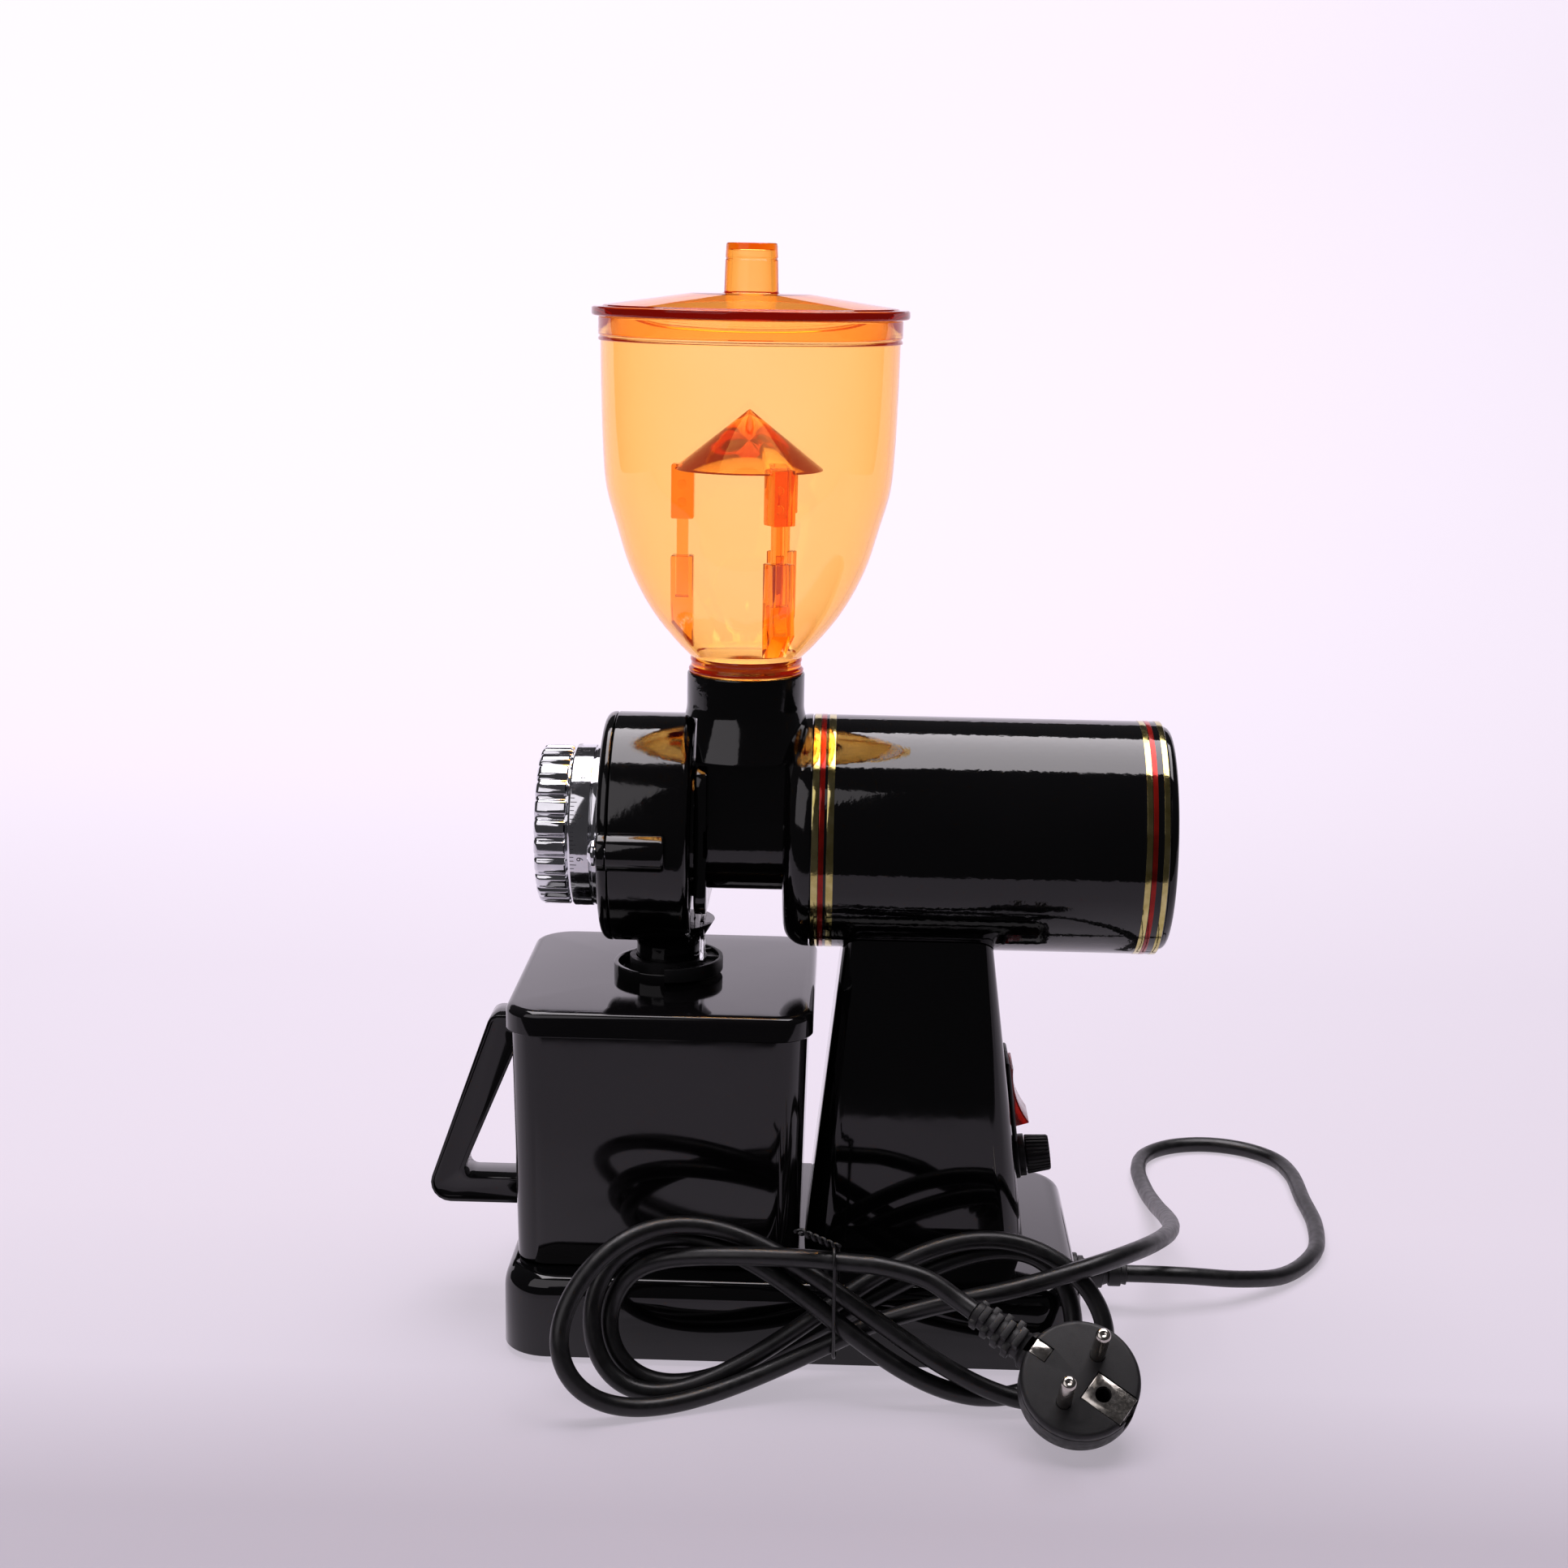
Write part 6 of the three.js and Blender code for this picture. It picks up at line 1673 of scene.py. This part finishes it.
lip, lipFoot, lipTop, flatTop, flatRadius = hopperValues["lid"]
knobFoot, knobTip, knobTop = hopperValues["knob"]
hopperLid = turned(
    "hopperLid",
    filleted(
        [
            (0, knobTop),
            (knobTip, knobTop, 0.6),
            (knobTip + 0.25, knobTop - 4.6, 0.1),
            (knobTip + 0.05, knobTop - 4.9, 0.1),
            (knobTip + 0.05, knobTop - 5.3, 0.1),
            (knobTip + 0.3, knobTop - 5.6, 0.1),
            (knobFoot, flatTop, 0.8),
            (flatRadius, flatTop, 0.8),
            (48.6, lipTop + 0.5, 0.5),
            (49.2, lipTop, 0.3),
            (lip, lipTop, 0.8),
            (lip, lipFoot, 0.8),
            (48.1, lipFoot, 0.2),
            (48.1, lipFoot - 6.5, 0.3),
            (46.2, lipFoot - 6.5, 0.3),
            (46.2, lipTop - 2.5, 0.6),
            (flatRadius, flatTop - 2.5, 1),
            (knobFoot - 2.2, flatTop - 2.5, 0.6),
            (knobTip - 2.2, knobTop - 2.2, 0.6),
            (0, knobTop - 2.2),
        ],
        4,
    ),
    160,
)
place(hopperLid, hopperSpot)
finishPiece(hopperLid, deepAcrylic, "hopper_cover", "amber_plastic", "hopper_lid", angle=35)
print("hopper done")

# ---- CAD nodes that keep their shape ----
keptFinishes = {
    "base_plate": plateSteel,
    "run_capacitor": erodedAbs,
    "fuse_tube": fuseGlass,
    "stator_core": laminatedSteel,
    "rotor_core": laminatedSteel,
    "winding_front": copperWire,
    "winding_rear": copperWire,
    "bearing_front": pinNickel,
    "bearing_rear": pinNickel,
    "drive_shaft": burrSteel,
    "cooling_fan": erodedAbs,
    "auger": burrSteel,
    "burr_spider": burrSteel,
    "fixed_burr": burrSteel,
    "rotating_burr": burrSteel,
    "burr_carrier": burrSteel,
    "foot_front_left": footRubber,
    "foot_front_right": footRubber,
    "foot_rear_left": footRubber,
    "foot_rear_right": footRubber,
}
for name, material in keptFinishes.items():
    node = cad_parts[name]
    if not node.material_slots:
        node.data.materials.append(None)
    for each in node.material_slots:
        each.link = "OBJECT"
        each.material = material

# ---- table and backdrop: pale paper that curves up behind the object ----
stageValues = {"front": -310, "foot": 1250, "bend": 500, "rise": 700, "half": 1700}
paper = traced(
    "paperBackdrop",
    [(0, stageValues["front"], 0)]
    + [
        (
            0,
            stageValues["foot"] - stageValues["bend"] + stageValues["bend"] * math.sin(math.pi / 2 * step / 16),
            stageValues["bend"] * (1 - math.cos(math.pi / 2 * step / 16)),
        )
        for step in range(17)
    ]
    + [(0, stageValues["foot"], stageValues["rise"])],
)
bpy.ops.mesh.select_all(action="SELECT")
bpy.ops.transform.translate(value=(-stageValues["half"] * mm, 0, 0))
bpy.ops.mesh.extrude_region_move(TRANSFORM_OT_translate={"value": (2 * stageValues["half"] * mm, 0, 0)})
leave()
only(paper)
bpy.ops.object.shade_smooth()


paperPaintedShades = [
    # metres behind the object, and the tone painted there: the paper's colour with painted shade, greyer towards the
    # viewer
    (-0.33, "#8f8991"),
    (-0.16, "#938d95"),
    (-0.065, "#b9b2bc"),
    (0.074, "#c3bbc5"),
    (0.404, "#cbc3ce"),
    (0.88, "#e2d9e5"),
    (1.25, "#f0e7f3"),
]


def paperSheet():
    # Matt photographer's paper: lavender white with a faint tooth; seen directly it glows with painted shade, greyer
    # towards the viewer and to the right
    material, shader, output = newSurface("mattPaper", {"Roughness": 0.9, "Base Color": colour("#7e7882")})
    spot = addNode(material, "ShaderNodeTexCoord").outputs["Object"]
    parts = addNode(material, "ShaderNodeSeparateXYZ", links={"Vector": spot})
    depth = addNode(
        material,
        "ShaderNodeMapRange",
        values={"From Min": paperPaintedShades[0][0], "From Max": paperPaintedShades[-1][0], "To Min": 0, "To Max": 1},
        links={"Value": parts.outputs["Y"]},
    )
    ramp = addNode(material, "ShaderNodeValToRGB", links={"Fac": depth.outputs["Result"]})
    reach = paperPaintedShades[-1][0] - paperPaintedShades[0][0]
    for number, (spotY, paintedTone) in enumerate(paperPaintedShades):
        share = (spotY - paperPaintedShades[0][0]) / reach
        if 0 < number < len(paperPaintedShades) - 1:
            ramp.color_ramp.elements.new(share)
        ramp.color_ramp.elements[number].position = share
        ramp.color_ramp.elements[number].color = colour(paintedTone)
    # painted shade: the paper's glow is made weaker towards the right
    paintedSideShade = addNode(
        material,
        "ShaderNodeMapRange",
        values={"From Min": -0.9, "From Max": 0.9, "To Min": 1.1, "To Max": 0.85},
        links={"Value": parts.outputs["X"]},
    )
    path = addNode(material, "ShaderNodeLightPath")
    seen = addNode(
        material,
        "ShaderNodeMath",
        settings={"operation": "MAXIMUM"},
        links={0: path.outputs["Is Camera Ray"], 1: path.outputs["Is Glossy Ray"]},
    )
    either = addNode(
        material,
        "ShaderNodeMath",
        settings={"operation": "MAXIMUM"},
        links={0: seen.outputs["Value"], 1: path.outputs["Is Transmission Ray"]},
    )
    strength = addNode(
        material,
        "ShaderNodeMath",
        settings={"operation": "MULTIPLY"},
        links={0: either.outputs["Value"], 1: paintedSideShade.outputs["Result"]},
    )
    glow = addNode(
        material, "ShaderNodeEmission", links={"Color": ramp.outputs["Color"], "Strength": strength.outputs["Value"]}
    )
    both = addNode(material, "ShaderNodeAddShader", links={0: shader.outputs["BSDF"], 1: glow.outputs["Emission"]})
    material.node_tree.links.new(both.outputs["Shader"], output.inputs["Surface"])
    raised(material, shader, (grain(material, 0.4), 0.01))
    return material


paper.data.materials.append(paperSheet())

# ---- lights ----
lightValues = {
    # name: (place, aimed at, width, depth, watts)
    "overheadBox": ((60, 270, 1330), (60, 270, 0), 1.3, 1.08, 27),
    "frontLeftBox": ((-570, -740, 800), (-60, 0, 170), 0.95, 0.85, 2.8),
}
for name, (spot, aim, width, depth, watts) in lightValues.items():
    bpy.ops.object.light_add(type="AREA", location=at(*spot))
    lamp = bpy.context.object
    lamp.name = name
    lamp.data.shape = "RECTANGLE"
    lamp.data.size, lamp.data.size_y = width, depth
    lamp.data.energy = watts
    lamp.data.color = colour("#fff8fe")[:3]
    lamp.rotation_euler = (at(*aim) - at(*spot)).to_track_quat("-Z", "Y").to_euler()

world = bpy.data.worlds.new("studio")
bpy.context.scene.world = world
world.use_nodes = True
world.node_tree.nodes.clear()
path = addNode(world, "ShaderNodeLightPath")
through = addNode(
    world,
    "ShaderNodeMath",
    settings={"operation": "MAXIMUM"},
    links={0: path.outputs["Is Camera Ray"], 1: path.outputs["Is Transmission Ray"]},
)
room = addNode(world, "ShaderNodeBackground", values={"Color": colour("#8d8a90"), "Strength": 0.16})
pale = addNode(world, "ShaderNodeBackground", values={"Color": colour("#f6eef8"), "Strength": 1})
mixed = addNode(
    world,
    "ShaderNodeMixShader",
    links={"Fac": through.outputs["Value"], 1: room.outputs["Background"], 2: pale.outputs["Background"]},
)
addNode(world, "ShaderNodeOutputWorld", links={"Surface": mixed.outputs["Shader"]})
bpy.context.scene.view_settings.view_transform = "Standard"

print("scene done")
